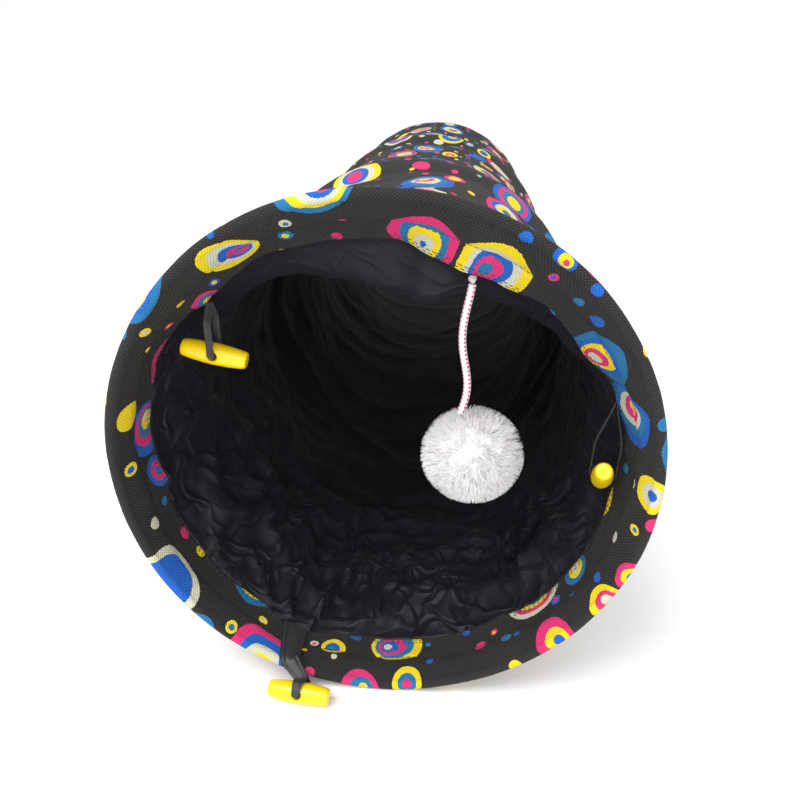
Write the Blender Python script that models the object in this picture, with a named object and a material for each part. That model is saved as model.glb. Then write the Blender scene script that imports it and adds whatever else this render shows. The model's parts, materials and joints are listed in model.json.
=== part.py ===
"""Collapsible cat tunnel: printed canvas over four spring-steel hoops, dark lining, toggles and a pompom.

The tunnel lies along Y on the floor, its near mouth facing -Y, +Z up. Metres throughout.
Every ring-shaped piece is lofted through rings of the same number of points, so that nested cloth, hems
and hoops keep even gaps, and each ring has a flat facet at the bottom, on which the tunnel stands.
"""

import math

import bmesh
import bpy
from mathutils import Matrix, Vector

# Driving sizes of the tunnel
TUNNEL_LENGTH = 0.9
END_RING_DIAMETER = 0.3
BODY_TAPER = 0.0075
FAR_TAPER = 0.0075
HOOP_PLACE_SHARES = (1 / 3, 2 / 3)
FOLDED_CLOTH_SHARE = 0.06
CLEARANCE = 0.0003
SEGMENTS = 40

# Cloth
CANVAS = 0.0009
SLEEVE_CLOTH = 0.0006
LINING_CLOTH = 0.0005
FACING_WIDTH = 0.0365
FAR_BAND_DEPTH = 0.01
BAND_TAPER = 0.0055
SLEEVE_FLANGE = 0.004
SAG = 0.009
SIDE_SAG_SHARE = 0.4
FOLD_HEIGHT = 0.005
FOLD_COUNT = 7
WRINKLE_HEIGHT = 0.004
WRINKLE_COUNT = 9
LINING_BLEND = 0.12
STEPS_PER_BAY = 3

# Hoops
WIRE_DIAMETER = 0.0024
WIRE_SIDES = 6
WIRE_END_GAP = 0.001
FERRULE_WALL = 0.00045
FERRULE_LENGTH = 0.018
FERRULE_SEGMENT = 31
HEM_ARC_STEPS = 7
SLEEVE_ARC_STEPS = 5

# Toggles and their tapes
BARREL_LENGTH = 0.0375
BARREL_DIAMETER = 0.0125
BARREL_END_DIAMETER = 0.0095
BARREL_EDGE = 0.0012
BARREL_SIDES = 20
HOLE_DIAMETER = 0.0054
PARTING_RIDGE = 0.0002
PARTING_WIDTH = 0.0008
TAPE_WIDTH = 0.0042
TAPE_THICKNESS = 0.001
TAPE_ROOT_WIDTH = 0.008
LEFT_TOGGLE_YAW = 0
LEFT_TOGGLE_TIP = 12
RIGHT_TOGGLE_YAW = 76.9
RIGHT_TOGGLE_TIP = 28
FLOOR_TOGGLE_YAW = -7.7
FLOOR_HOLE_RISE = 25
FLOOR_TAPE_SLACK = 0.0013

# Where the toggles hang: angle round the mouth in degrees, then the way from the root down, out and in
LEFT_ROOT_ANGLE = 139.4
LEFT_DROP = 0.0303
LEFT_LEAN = 0.0
LEFT_INSET = 0.0
RIGHT_ROOT_ANGLE = 13
RIGHT_DROP = 0.0438
RIGHT_LEAN = 0.006
RIGHT_INSET = 0.0045
FLOOR_ROOT_ANGLE = -114.4
FLOOR_REACH = 0.0115
FLOOR_SHIFT = 0.0098

# Pompom and its string
POMPOM_DIAMETER = 0.056
POMPOM_SIDES = 20
POMPOM_RINGS = 12
STRING_DIAMETER = 0.004
STRING_DROP = 0.0725
STRING_POINTS = 13
STRING_LEAN = 0.004
STRING_WAVE = 0.0026
STRING_WAVE_POWER = 1.3
KNOT_DIAMETER = 0.0048
KNOT_SIDES = 12
KNOT_RINGS = 8
STRING_ANGLE = 65.4

# Catch loops inside the far mouth
LOOP_CORD = 0.0024
LOOP_LENGTH = 0.024
LOOP_WIDTH = 0.017
LOOP_POINTS = 24
LOOP_SIDES = 6

# Drawn-in edge of the facing: angle in degrees, droop and width as shares of the facing's width
EDGE_SHARES = (
    (-180, 0.0, 0.95),
    (-150, 0.0, 0.86),
    (-125, 0.0, 0.8),
    (-114, 0.0, 0.55),
    (-103, 0.0, 0.8),
    (-50, 0.0, 0.85),
    (-30, 0.02, 1.0),
    (-12, 0.18, 1.0),
    (3, 0.04, 1.0),
    (14, 0.25, 1.0),
    (32, 0.55, 1.0),
    (44, 0.58, 1.0),
    (57, 0.72, 1.0),
    (69, 0.8, 1.0),
    (77, 0.75, 1.0),
    (87, 0.6, 1.0),
    (111, 0.6, 1.0),
    (125, 0.48, 1.0),
    (140, 0.39, 1.0),
    (148, 0.16, 1.0),
    (165, 0.03, 1.0),
    (180, 0.0, 0.95),
)

# Sizes that follow from those above
FACET_SHARE = math.cos(math.pi / SEGMENTS)
END_RADIUS = END_RING_DIAMETER / 2
FAR_RADIUS = END_RADIUS - FAR_TAPER
BODY_RADIUS = END_RADIUS - BODY_TAPER
BAND_END_RADIUS = END_RADIUS - BAND_TAPER
WIRE_RADIUS = WIRE_DIAMETER / 2
FERRULE_RADIUS = WIRE_RADIUS + CLEARANCE + FERRULE_WALL
CHANNEL_RADIUS = FERRULE_RADIUS + CLEARANCE
HEM_RADIUS = CHANNEL_RADIUS + CANVAS
SLEEVE_RADIUS = CHANNEL_RADIUS + SLEEVE_CLOTH
RETURN_END = HEM_RADIUS + CHANNEL_RADIUS + CANVAS + CLEARANCE
FACING_START_RADIUS = END_RADIUS - HEM_RADIUS - CHANNEL_RADIUS - CANVAS - LINING_CLOTH
FACING_DEPTH = RETURN_END + FACING_WIDTH
BARREL_RADIUS = BARREL_DIAMETER / 2
LEG_OFFSET = BARREL_RADIUS + PARTING_RIDGE + CLEARANCE + TAPE_THICKNESS / 2
FRONT_OVERHANG = FLOOR_REACH + LEG_OFFSET + TAPE_THICKNESS / 2
NEAR_Y = (FRONT_OVERHANG - TUNNEL_LENGTH) / 2
HOOP_PLACES = [share * TUNNEL_LENGTH for share in HOOP_PLACE_SHARES]

CANVAS_LOOK = ("printed_canvas", (0.05, 0.045, 0.042), 0.9, 0.0)
LINING_LOOK = ("dark_taffeta", (0.012, 0.012, 0.016), 0.4, 0.0)
STEEL_LOOK = ("spring_steel", (0.45, 0.45, 0.47), 0.3, 1.0)
FERRULE_LOOK = ("crimped_aluminium", (0.7, 0.7, 0.72), 0.4, 1.0)
TOGGLE_LOOK = ("yellow_plastic", (0.93, 0.66, 0.0), 0.22, 0.0)
TAPE_LOOK = ("black_tape", (0.02, 0.02, 0.022), 0.8, 0.0)
STRING_LOOK = ("braided_elastic", (0.86, 0.8, 0.84), 0.7, 0.0)
PLUSH_LOOK = ("pale_plush", (0.85, 0.81, 0.88), 0.95, 0.0)


def clear_scene():
    for item in list(bpy.data.objects):
        bpy.data.objects.remove(item, do_unlink=True)


def material(look):
    name, colour, roughness, metallic = look
    found = bpy.data.materials.get(name)
    if found:
        return found
    made = bpy.data.materials.new(name)
    made.use_nodes = True
    shader = made.node_tree.nodes["Principled BSDF"]
    shader.inputs["Base Color"].default_value = (*colour, 1.0)
    shader.inputs["Roughness"].default_value = roughness
    shader.inputs["Metallic"].default_value = metallic
    return made


def add_object(name, mesh, look, origin=None, smooth_angle=40):
    """Links a mesh given in tunnel coordinates as an object whose origin lies at the given point."""
    mesh.materials.clear()
    mesh.materials.append(material(look))
    mesh.shade_smooth()
    mesh.set_sharp_from_angle(angle=math.radians(smooth_angle))
    item = bpy.data.objects.new(name, mesh)
    bpy.context.scene.collection.objects.link(item)
    if origin is not None:
        mesh.transform(Matrix.Translation(-origin))
        item.location = origin
    return item


def finished_mesh(name, work):
    bmesh.ops.recalc_face_normals(work, faces=work.faces)
    mesh = bpy.data.meshes.new(name)
    work.to_mesh(mesh)
    work.free()
    return mesh


def cloth_mesh(name, outer, inner):
    """A thin closed cloth between two lists of rings, both split along the same diagonals."""
    work = bmesh.new()
    skins = [[[work.verts.new(point) for point in ring] for ring in rings] for rings in (outer, inner)]
    count = len(outer[0])
    for k in range(count):
        following = (k + 1) % count
        for rows in skins:
            for row, after in zip(rows, rows[1:]):
                work.faces.new((row[k], row[following], after[following]))
                work.faces.new((row[k], after[following], after[k]))
        for end in (0, -1):
            above = skins[0][end]
            below = skins[1][end]
            work.faces.new((above[k], above[following], below[following]))
            work.faces.new((above[k], below[following], below[k]))
    return finished_mesh(name, work)


def ring_mesh(name, rings):
    """A closed skin through rings of points, the last ring joined to the first."""
    work = bmesh.new()
    rows = [[work.verts.new(point) for point in ring] for ring in rings]
    for row, after in zip(rows, rows[1:] + rows[:1]):
        for k in range(len(row)):
            following = (k + 1) % len(row)
            work.faces.new((row[k], row[following], after[following], after[k]))
    return finished_mesh(name, work)


def capped_mesh(name, rings):
    """A closed skin through rings of points with a flat cap at each end."""
    work = bmesh.new()
    rows = [[work.verts.new(point) for point in ring] for ring in rings]
    for row, after in zip(rows, rows[1:]):
        for k in range(len(row)):
            following = (k + 1) % len(row)
            work.faces.new((row[k], row[following], after[following], after[k]))
    work.faces.new(list(reversed(rows[0])))
    work.faces.new(rows[-1])
    return finished_mesh(name, work)


def ring_angle(k):
    """The angle of a ring's point k. The half step puts a flat facet at the bottom."""
    return 2 * math.pi * (k + 0.5) / SEGMENTS


def hoop_point(radius, angle, y, height):
    return Vector((radius * math.cos(angle), NEAR_Y + y, height + radius * math.sin(angle)))


def plain_ring(radius, y, height):
    return [hoop_point(radius, ring_angle(k), y, height) for k in range(SEGMENTS)]


def smooth_between(value, low, high):
    share = min(max((value - low) / (high - low), 0), 1)
    return share * share * (3 - 2 * share)


# The canvas body


def outer_radius(y):
    """Outer radius of the taut canvas at a distance y from the near mouth."""
    hem = HEM_RADIUS
    knots = [
        (hem, END_RADIUS),
        (FACING_DEPTH, BAND_END_RADIUS),
        (HOOP_PLACES[0], BODY_RADIUS),
        (HOOP_PLACES[1], BODY_RADIUS),
        (TUNNEL_LENGTH - hem, FAR_RADIUS),
    ]
    y = min(max(y, hem), TUNNEL_LENGTH - hem)
    for (y0, r0), (y1, r1) in zip(knots, knots[1:]):
        if y <= y1:
            return r0 + (r1 - r0) * (y - y0) / (y1 - y0)
    return FAR_RADIUS


def axis_height(y):
    """Height of the tunnel's axis, so that the canvas's bottom facet lies on the floor everywhere."""
    return outer_radius(y) * FACET_SHARE


def bays():
    """Start and end of each stretch of loose cloth between the bands and the middle hoops' sleeves."""
    flat = CHANNEL_RADIUS + SLEEVE_FLANGE + CLEARANCE
    starts = [FACING_DEPTH + CLEARANCE, *(place + flat for place in HOOP_PLACES)]
    ends = [*(place - flat for place in HOOP_PLACES), TUNNEL_LENGTH - FAR_BAND_DEPTH - CLEARANCE]
    return list(zip(starts, ends))


def bay_of(y):
    """The number of the bay at a distance from the near mouth, and the place in it from 0 to 1."""
    for number, (start, end) in enumerate(bays()):
        if y <= end:
            break
    return number, min(max((y - start) / (end - start), 0), 1)


def canvas_drawn_in(angle, y):
    """How far the loose canvas lies inside its taut radius: it sags from above and folds over."""
    bay, place = bay_of(y)
    bell = math.sin(math.pi * place)
    rise = math.sin(angle)
    off_floor = smooth_between(rise, -0.95, -0.55)
    top = SIDE_SAG_SHARE + (1 - SIDE_SAG_SHARE) * max(rise, 0)
    wave = math.sin(FOLD_COUNT * angle + 2 * bay + 2 * place)
    return bell * off_floor * (SAG * top + FOLD_HEIGHT * (1 + wave) / 2)


def lining_drawn_in(angle, y):
    bay, place = bay_of(y)
    rise = math.sin(angle)
    off_floor = smooth_between(rise, -0.98, -0.7)
    wave = math.sin(WRINKLE_COUNT * angle + 3 * bay + 4 * place)
    return WRINKLE_HEIGHT * math.sin(math.pi * place) * (SIDE_SAG_SHARE + off_floor * (1 + wave) / 2)


def cloth_stations():
    """Distances from the near mouth at which canvas and lining have a ring of points."""
    stretches = bays()
    stretches[-1] = (stretches[-1][0], TUNNEL_LENGTH - FACING_DEPTH - CLEARANCE)
    stations = []
    for start, end in stretches:
        stations += [start + (end - start) * step / STEPS_PER_BAY for step in range(STEPS_PER_BAY + 1)]
    return stations


def cloth_ring(y, inset):
    """A ring of the loose canvas, or of a surface that follows it inset below its outer face."""
    ring = []
    for k in range(SEGMENTS):
        angle = ring_angle(k)
        radius = outer_radius(y) - canvas_drawn_in(angle, y) - inset
        ring.append(hoop_point(radius, angle, y, axis_height(y)))
    return ring


def build_cover():
    stations = [*cloth_stations(), TUNNEL_LENGTH - FAR_BAND_DEPTH - CLEARANCE]
    outer = [cloth_ring(y, 0) for y in stations]
    inner = [cloth_ring(y, CANVAS) for y in stations]
    return add_object("cover", cloth_mesh("cover", outer, inner), CANVAS_LOOK)


# The facing and the lining


def edge_shares(angle):
    """Droop and width of the facing at an angle, as shares of its width, eased between the listed angles."""
    degrees = math.degrees(math.atan2(math.sin(angle), math.cos(angle)))
    for (a0, d0, w0), (a1, d1, w1) in zip(EDGE_SHARES, EDGE_SHARES[1:]):
        if degrees <= a1:
            share = smooth_between(degrees, a0, a1)
            return d0 + (d1 - d0) * share, w0 + (w1 - w0) * share
    return EDGE_SHARES[-1][1:]


def band_limit(angle):
    """The largest radius that stays inside the near band's end, whose axis lies lower than the hoop's."""
    lower = (END_RADIUS - BAND_END_RADIUS) * FACET_SHARE
    inner = BAND_END_RADIUS - CANVAS
    return math.sqrt(inner**2 - (lower * math.cos(angle)) ** 2) - lower * math.sin(angle) - 2 * CLEARANCE


def edge_point(angle):
    """Radius and distance from the mouth of the facing's inner edge."""
    droop_share, width_share = edge_shares(angle)
    droop = droop_share * FACING_WIDTH
    width = width_share * FACING_WIDTH
    radius = min(FACING_START_RADIUS - droop, band_limit(angle))
    return radius, RETURN_END + math.sqrt(width * width - droop * droop)


def facing_ring(place, inset):
    """A ring of the near facing, from 0 at the hem to 1 at its inner edge."""
    height = END_RADIUS * FACET_SHARE
    ring = []
    for k in range(SEGMENTS):
        angle = ring_angle(k)
        radius, y = edge_point(angle)
        sweep = math.sin(math.pi * place) * CANVAS
        ring.append(
            hoop_point(
                FACING_START_RADIUS + (radius - FACING_START_RADIUS) * place + sweep - inset,
                angle,
                RETURN_END + CLEARANCE + (y - RETURN_END - CLEARANCE) * place,
                height,
            )
        )
    return ring


def build_near_facing():
    places = (0, 0.5, 1)
    outer = [facing_ring(place, 0) for place in places]
    inner = [facing_ring(place, CANVAS) for place in places]
    return add_object("near_facing", cloth_mesh("near_facing", outer, inner), CANVAS_LOOK)


def build_far_facing():
    height = FAR_RADIUS * FACET_SHARE
    radius = FACING_START_RADIUS - FAR_TAPER
    start = TUNNEL_LENGTH - RETURN_END - CLEARANCE
    end = TUNNEL_LENGTH - FACING_DEPTH
    middle = (start + end) / 2
    places = ((start, 0), (middle, -CANVAS), (end, CANVAS))
    outer = [plain_ring(radius - inset, y, height) for y, inset in places]
    inner = [plain_ring(radius - inset - CANVAS, y, height) for y, inset in reversed(places)]
    return add_object("far_facing", ring_mesh("far_facing", outer + inner), CANVAS_LOOK)


def lining_ring(y, first, last, inset):
    """A ring of the lining, from the facing's edge along the canvas to the far facing."""
    sleeve_inset = CANVAS + CLEARANCE + CHANNEL_RADIUS + SLEEVE_RADIUS + CLEARANCE
    near_height = END_RADIUS * FACET_SHARE
    far_height = FAR_RADIUS * FACET_SHARE
    far_radius = FACING_START_RADIUS - FAR_TAPER - CANVAS - CLEARANCE
    start = 1 - smooth_between(y, first, first + LINING_BLEND)
    end = smooth_between(y, last - LINING_BLEND, last)
    near_ring = cloth_ring(first, 0)
    far_ring = cloth_ring(last, 0)
    ring = []
    for k, canvas_point in enumerate(cloth_ring(y, 0)):
        angle = ring_angle(k)
        outward = Vector((math.cos(angle), 0, math.sin(angle)))
        edge_radius, edge_y = edge_point(angle)
        near_edge = hoop_point(edge_radius - CLEARANCE, angle, edge_y + CLEARANCE, near_height)
        far_edge = hoop_point(far_radius, angle, last, far_height)
        offset = -outward * (sleeve_inset + lining_drawn_in(angle, y))
        offset = offset.lerp(near_edge - near_ring[k], start)
        offset = offset.lerp(far_edge - far_ring[k], end)
        ring.append(canvas_point + offset - outward * inset)
    return ring


def build_lining():
    stations = cloth_stations()
    first = stations[0]
    last = stations[-1]
    outer = [lining_ring(y, first, last, 0) for y in stations]
    inner = [lining_ring(y, first, last, LINING_CLOTH) for y in stations]
    return add_object("lining", cloth_mesh("lining", outer, inner), LINING_LOOK)


# Hems and hoop sleeves


def hem_profile(end_radius, band_depth, band_end_radius):
    """The section of the canvas turned round an end hoop: radius, distance from the mouth, axis height."""
    centre = end_radius - HEM_RADIUS
    height = end_radius * FACET_SHARE
    end_height = band_end_radius * FACET_SHARE
    end_step = math.pi / 2 + math.pi / (2 * HEM_ARC_STEPS)
    outer = [(band_end_radius, band_depth, end_height)]
    inner = [(band_end_radius - CANVAS, band_depth, end_height)]
    for step in range(HEM_ARC_STEPS + 1):
        turn = math.pi / 2 + (math.pi + end_step - math.pi / 2) * step / HEM_ARC_STEPS
        for side, radius in ((outer, HEM_RADIUS), (inner, CHANNEL_RADIUS)):
            side.append((centre + radius * math.sin(turn), HEM_RADIUS + radius * math.cos(turn), height))
    return outer + inner[::-1]


def build_hem(name, end_radius, band_depth, band_end_radius, at_far_end):
    rings = []
    for radius, depth, height in hem_profile(end_radius, band_depth, band_end_radius):
        y = TUNNEL_LENGTH - depth if at_far_end else depth
        rings.append(plain_ring(radius, y, height))
    return add_object(name, ring_mesh(name, rings), CANVAS_LOOK)


def sleeve_profile(place):
    """Section of the strip that holds a middle hoop: a trough for the wire between two flat flanges."""
    top = BODY_RADIUS - CANVAS - CLEARANCE
    centre = top - CHANNEL_RADIUS
    outer = [(top, -CHANNEL_RADIUS - SLEEVE_FLANGE), (top, -CHANNEL_RADIUS)]
    inner = [(top - SLEEVE_CLOTH, -CHANNEL_RADIUS - SLEEVE_FLANGE), (top - SLEEVE_CLOTH, -SLEEVE_RADIUS)]
    for step in range(SLEEVE_ARC_STEPS + 1):
        turn = math.pi * step / SLEEVE_ARC_STEPS
        along = -math.cos(turn)
        down = math.sin(turn)
        outer.append((centre - CHANNEL_RADIUS * down, CHANNEL_RADIUS * along))
        inner.append((centre - SLEEVE_RADIUS * down, SLEEVE_RADIUS * along))
    outer += [(top, CHANNEL_RADIUS), (top, CHANNEL_RADIUS + SLEEVE_FLANGE)]
    inner += [(top - SLEEVE_CLOTH, SLEEVE_RADIUS), (top - SLEEVE_CLOTH, CHANNEL_RADIUS + SLEEVE_FLANGE)]
    return [(radius, place + along) for radius, along in outer + inner[::-1]]


def build_sleeve(name, place):
    height = BODY_RADIUS * FACET_SHARE
    rings = [plain_ring(radius, y, height) for radius, y in sleeve_profile(place)]
    return add_object(name, ring_mesh(name, rings), CANVAS_LOOK)


def wire_section(centre, tangent, radius, sides=WIRE_SIDES):
    """A ring of points round a hoop's wire, square to the wire."""
    along = Vector((0, 1, 0))
    outward = tangent.cross(along)
    points = []
    for k in range(sides):
        turn = 2 * math.pi * k / sides
        points.append(centre + (along * math.cos(turn) + outward * math.sin(turn)) * radius)
    return points


def hoop_centres(radius, y, height):
    """Points along a hoop's wire, starting and ending inside the ferrule's segment."""
    ring = plain_ring(radius, y, height)
    first = ring[FERRULE_SEGMENT % SEGMENTS]
    last = ring[(FERRULE_SEGMENT + 1) % SEGMENTS]
    middle = (first + last) / 2
    along = (last - first).normalized()
    loop = [ring[(FERRULE_SEGMENT + 1 + k) % SEGMENTS] for k in range(SEGMENTS)]
    return [middle + along * WIRE_END_GAP / 2, *loop, middle - along * WIRE_END_GAP / 2]


def build_wire(name, radius, y, height):
    """One turn of spring steel, its two ends almost meeting inside the ferrule."""
    centres = hoop_centres(radius, y, height)
    rings = []
    for k, centre in enumerate(centres):
        before = centres[max(k - 1, 0)]
        after = centres[min(k + 1, len(centres) - 1)]
        rings.append(wire_section(centre, (after - before).normalized(), WIRE_RADIUS))
    return add_object(name, capped_mesh(name, rings), STEEL_LOOK)


def build_ferrule(name, radius, y, height):
    """The short crimped tube that joins the two ends of a hoop's wire."""
    centres = hoop_centres(radius, y, height)
    middle = (centres[0] + centres[-1]) / 2
    tangent = (centres[0] - centres[-1]).normalized()
    bore = WIRE_RADIUS + CLEARANCE
    ends = (middle - tangent * FERRULE_LENGTH / 2, middle + tangent * FERRULE_LENGTH / 2)
    rings = [wire_section(end, tangent, FERRULE_RADIUS) for end in ends]
    rings += [wire_section(end, tangent, bore) for end in reversed(ends)]
    return add_object(name, ring_mesh(name, rings), FERRULE_LOOK)


def build_end(prefix, end_radius, band_depth, band_end_radius, at_far_end):
    centre = end_radius - HEM_RADIUS
    height = end_radius * FACET_SHARE
    y = TUNNEL_LENGTH - HEM_RADIUS if at_far_end else HEM_RADIUS
    build_hem(prefix + "_hem", end_radius, band_depth, band_end_radius, at_far_end)
    build_wire(prefix + "_hoop_wire", centre, y, height)
    build_ferrule(prefix + "_hoop_ferrule", centre, y, height)


def build_middle_hoop(number, place):
    centre = BODY_RADIUS - CANVAS - CLEARANCE - CHANNEL_RADIUS
    height = BODY_RADIUS * FACET_SHARE
    prefix = f"middle_hoop_{number}"
    build_sleeve(prefix + "_sleeve", place)
    build_wire(prefix + "_wire", centre, place, height)
    build_ferrule(prefix + "_ferrule", centre, place, height)


# Toggles on their tapes


def barrel_profile():
    """Half of the barrel's outline: distance along its axis and radius, with a ridge round the middle."""
    half = BARREL_LENGTH / 2
    ridge = PARTING_WIDTH / 2
    end_radius = BARREL_END_DIAMETER / 2
    side = [
        (half, end_radius - BARREL_EDGE),
        (half - BARREL_EDGE / 3, end_radius - BARREL_EDGE / 3),
        (half - BARREL_EDGE, end_radius),
    ]
    flank = []
    for share in (0.7, 0.4):
        swell = 1 - share * share
        flank.append((half * share, end_radius + (BARREL_RADIUS - end_radius) * swell))
    middle = [(ridge, BARREL_RADIUS), (0, BARREL_RADIUS + PARTING_RIDGE)]
    right = side + flank + middle
    left = [(-along, radius) for along, radius in reversed(right[:-1])]
    return right + left


def barrel_mesh():
    """A barrel along X round the origin, with its cross hole along Y cut by a Boolean."""
    rings = []
    for along, radius in barrel_profile():
        ring = []
        for k in range(BARREL_SIDES):
            turn = 2 * math.pi * k / BARREL_SIDES
            ring.append(Vector((along, radius * math.cos(turn), radius * math.sin(turn))))
        rings.append(ring)
    solid = bpy.data.objects.new("barrel_blank", capped_mesh("barrel_blank", rings))
    bpy.context.scene.collection.objects.link(solid)
    work = bmesh.new()
    bmesh.ops.create_cone(
        work,
        cap_ends=True,
        segments=BARREL_SIDES,
        radius1=HOLE_DIAMETER / 2,
        radius2=HOLE_DIAMETER / 2,
        depth=2 * BARREL_DIAMETER,
        matrix=Matrix.Rotation(math.pi / 2, 4, "X"),
    )
    cutter = bpy.data.objects.new("cross_hole_cutter", finished_mesh("cross_hole_cutter", work))
    bpy.context.scene.collection.objects.link(cutter)
    cut = solid.modifiers.new("cross_hole", "BOOLEAN")
    cut.operation = "DIFFERENCE"
    cut.solver = "EXACT"
    cut.object = cutter
    depsgraph = bpy.context.evaluated_depsgraph_get()
    mesh = bpy.data.meshes.new_from_object(solid.evaluated_get(depsgraph))
    bpy.data.objects.remove(solid, do_unlink=True)
    bpy.data.objects.remove(cutter, do_unlink=True)
    return mesh


def place_barrel(name, mesh, centre, along, across, tip):
    """Links a copy of the barrel lying along `along`, tipped round its cross hole's axis `across`."""
    copy = mesh.copy()
    copy.name = name
    item = add_object(name, copy, TOGGLE_LOOK)
    up = along.cross(across)
    frame = Matrix((along, across, up)).transposed().to_4x4()
    item.matrix_world = Matrix.Translation(centre) @ frame @ Matrix.Rotation(math.radians(tip), 4, "Y")
    return item


def strip_mesh(name, path, width_directions, widths):
    """A flat tape swept along a closed path, given the direction and width of the tape at each point."""
    rings = []
    count = len(path)
    for k, point in enumerate(path):
        across = width_directions[k].normalized()
        tangent = path[(k + 1) % count] - path[k - 1]
        lift = tangent.cross(across).normalized() * TAPE_THICKNESS / 2
        side = across * widths[k] / 2
        rings.append([point + side + lift, point - side + lift, point - side - lift, point + side - lift])
    return ring_mesh(name, rings)


def facet_directions(angle):
    """Directions along the facet that holds an angle: sideways towards larger angles, and inward."""
    facet = 2 * math.pi / SEGMENTS
    middle = math.floor((angle - facet / 2) / facet) * facet + facet
    sideways = Vector((-math.sin(middle), 0, math.cos(middle)))
    return sideways, Vector((-math.cos(middle), 0, -math.sin(middle)))


def facet_radius(radius, angle):
    """Distance from the axis, at an angle, of the flat facets of a ring whose points lie at a radius."""
    facet = 2 * math.pi / SEGMENTS
    from_middle = (angle + facet / 2) % facet - facet / 2
    return radius * FACET_SHARE / math.cos(from_middle)


def root_point(angle_degrees, gap):
    """A point just inside the facing's inner edge, which carries a tape or the string."""
    angle = math.radians(angle_degrees)
    radius, y = edge_point(angle)
    height = END_RADIUS * FACET_SHARE
    return hoop_point(facet_radius(radius - CANVAS, angle) - gap, angle, y, height)


def hanging_frame(root, centre, yaw_degrees):
    """Axes of a hanging toggle: along the barrel, along its cross hole, and up the tape."""
    up = (root - centre).normalized()
    yaw = math.radians(yaw_degrees)
    level = Vector((math.cos(yaw), math.sin(yaw), 0))
    along = (level - up * level.dot(up)).normalized()
    return along, up.cross(along), up


def hanging_path(root, centre, across, up):
    """The closed path of a tape that runs through the barrel and up both its sides to the root."""
    reach = (root - centre).length
    bend = TAPE_THICKNESS * 1.2
    straight = min(BARREL_LENGTH / 2 + CLEARANCE, reach * 0.66)
    pinch = TAPE_THICKNESS / 2 + CLEARANCE
    side = [
        (LEG_OFFSET - bend, 0),
        (LEG_OFFSET - bend * 0.3, bend * 0.3),
        (LEG_OFFSET, bend),
        (LEG_OFFSET, straight),
        (LEG_OFFSET * 0.7, straight + (reach - straight) * 0.35),
        (pinch * 1.6, straight + (reach - straight) * 0.85),
        (pinch, reach),
    ]
    points = [(-out, high) for out, high in reversed(side)] + side
    return [centre + across * out + up * high for out, high in points]


def build_hanging_toggle(number, mesh, root_angle, place, yaw, tip):
    drop, lean, inset = place
    gap = CLEARANCE + TAPE_THICKNESS / 2
    root = root_point(root_angle, gap)
    centre = root + Vector((-math.copysign(inset, root.x), -lean, -drop))
    along, across, up = hanging_frame(root, centre, yaw)
    path = hanging_path(root - up * gap, centre, across, up)
    widths = [TAPE_WIDTH] * len(path)
    tape = strip_mesh(f"toggle_tape_{number}", path, [along] * len(path), widths)
    add_object(f"toggle_tape_{number}", tape, TAPE_LOOK, origin=root)
    place_barrel(f"toggle_{number}", mesh, centre, along, across, tip)
    report_joint(f"toggle_{number}", root, centre, across)


def floor_tape_path(root, centre, along, level):
    """The closed path of the tape over the lip to the toggle on the floor, with its width directions."""
    angle = math.radians(FLOOR_ROOT_ANGLE)
    sideways, inward = facet_directions(angle)
    rise = math.radians(FLOOR_HOLE_RISE)
    layer = TAPE_THICKNESS + CLEARANCE
    hem = hoop_point(
        facet_radius(END_RADIUS - HEM_RADIUS, angle), angle, HEM_RADIUS, END_RADIUS * FACET_SHARE
    )
    nose = HEM_RADIUS + CLEARANCE + TAPE_THICKNESS / 2
    shift = Vector((FLOOR_SHIFT, 0, 0))

    def at_barrel(turn_degrees, offset):
        turn = math.radians(turn_degrees)
        return centre - level * offset * math.cos(turn) + Vector((0, 0, offset * math.sin(turn)))

    def at_nose(turn_degrees, radius, drift):
        turn = math.radians(turn_degrees)
        outward = Vector((0, -radius * math.sin(turn), 0))
        return hem + inward * radius * math.cos(turn) + outward + shift * drift

    hole = 180 - FLOOR_HOLE_RISE
    hole_axis = -level * math.cos(rise) - Vector((0, 0, math.sin(rise)))
    bend = TAPE_THICKNESS * 0.9
    over = [
        (centre - hole_axis * (LEG_OFFSET - bend), along),
        (at_barrel(hole, LEG_OFFSET), along),
        (at_barrel(hole - 30, LEG_OFFSET + FLOOR_TAPE_SLACK * 0.6), along),
        (at_barrel(hole - 60, LEG_OFFSET + FLOOR_TAPE_SLACK), along),
        (at_barrel(hole - 90, LEG_OFFSET + FLOOR_TAPE_SLACK), along),
        (at_nose(50, nose + 2 * layer, 0.45), along + sideways),
        (at_nose(0, nose + 1.7 * layer, 0.2), sideways),
        (root + inward * layer, sideways),
    ]
    under = [
        (root, sideways),
        (at_nose(0, nose + 0.5 * layer, 0.2), sideways),
        (at_nose(50, nose + 0.5 * layer, 0.45), along + sideways),
        (at_barrel(14, LEG_OFFSET + FLOOR_TAPE_SLACK), along),
        (at_barrel(-6, LEG_OFFSET + FLOOR_TAPE_SLACK * 0.6), along),
        (at_barrel(hole - 180, LEG_OFFSET), along),
        (centre + hole_axis * (LEG_OFFSET - bend), along),
    ]
    return over + under


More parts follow.
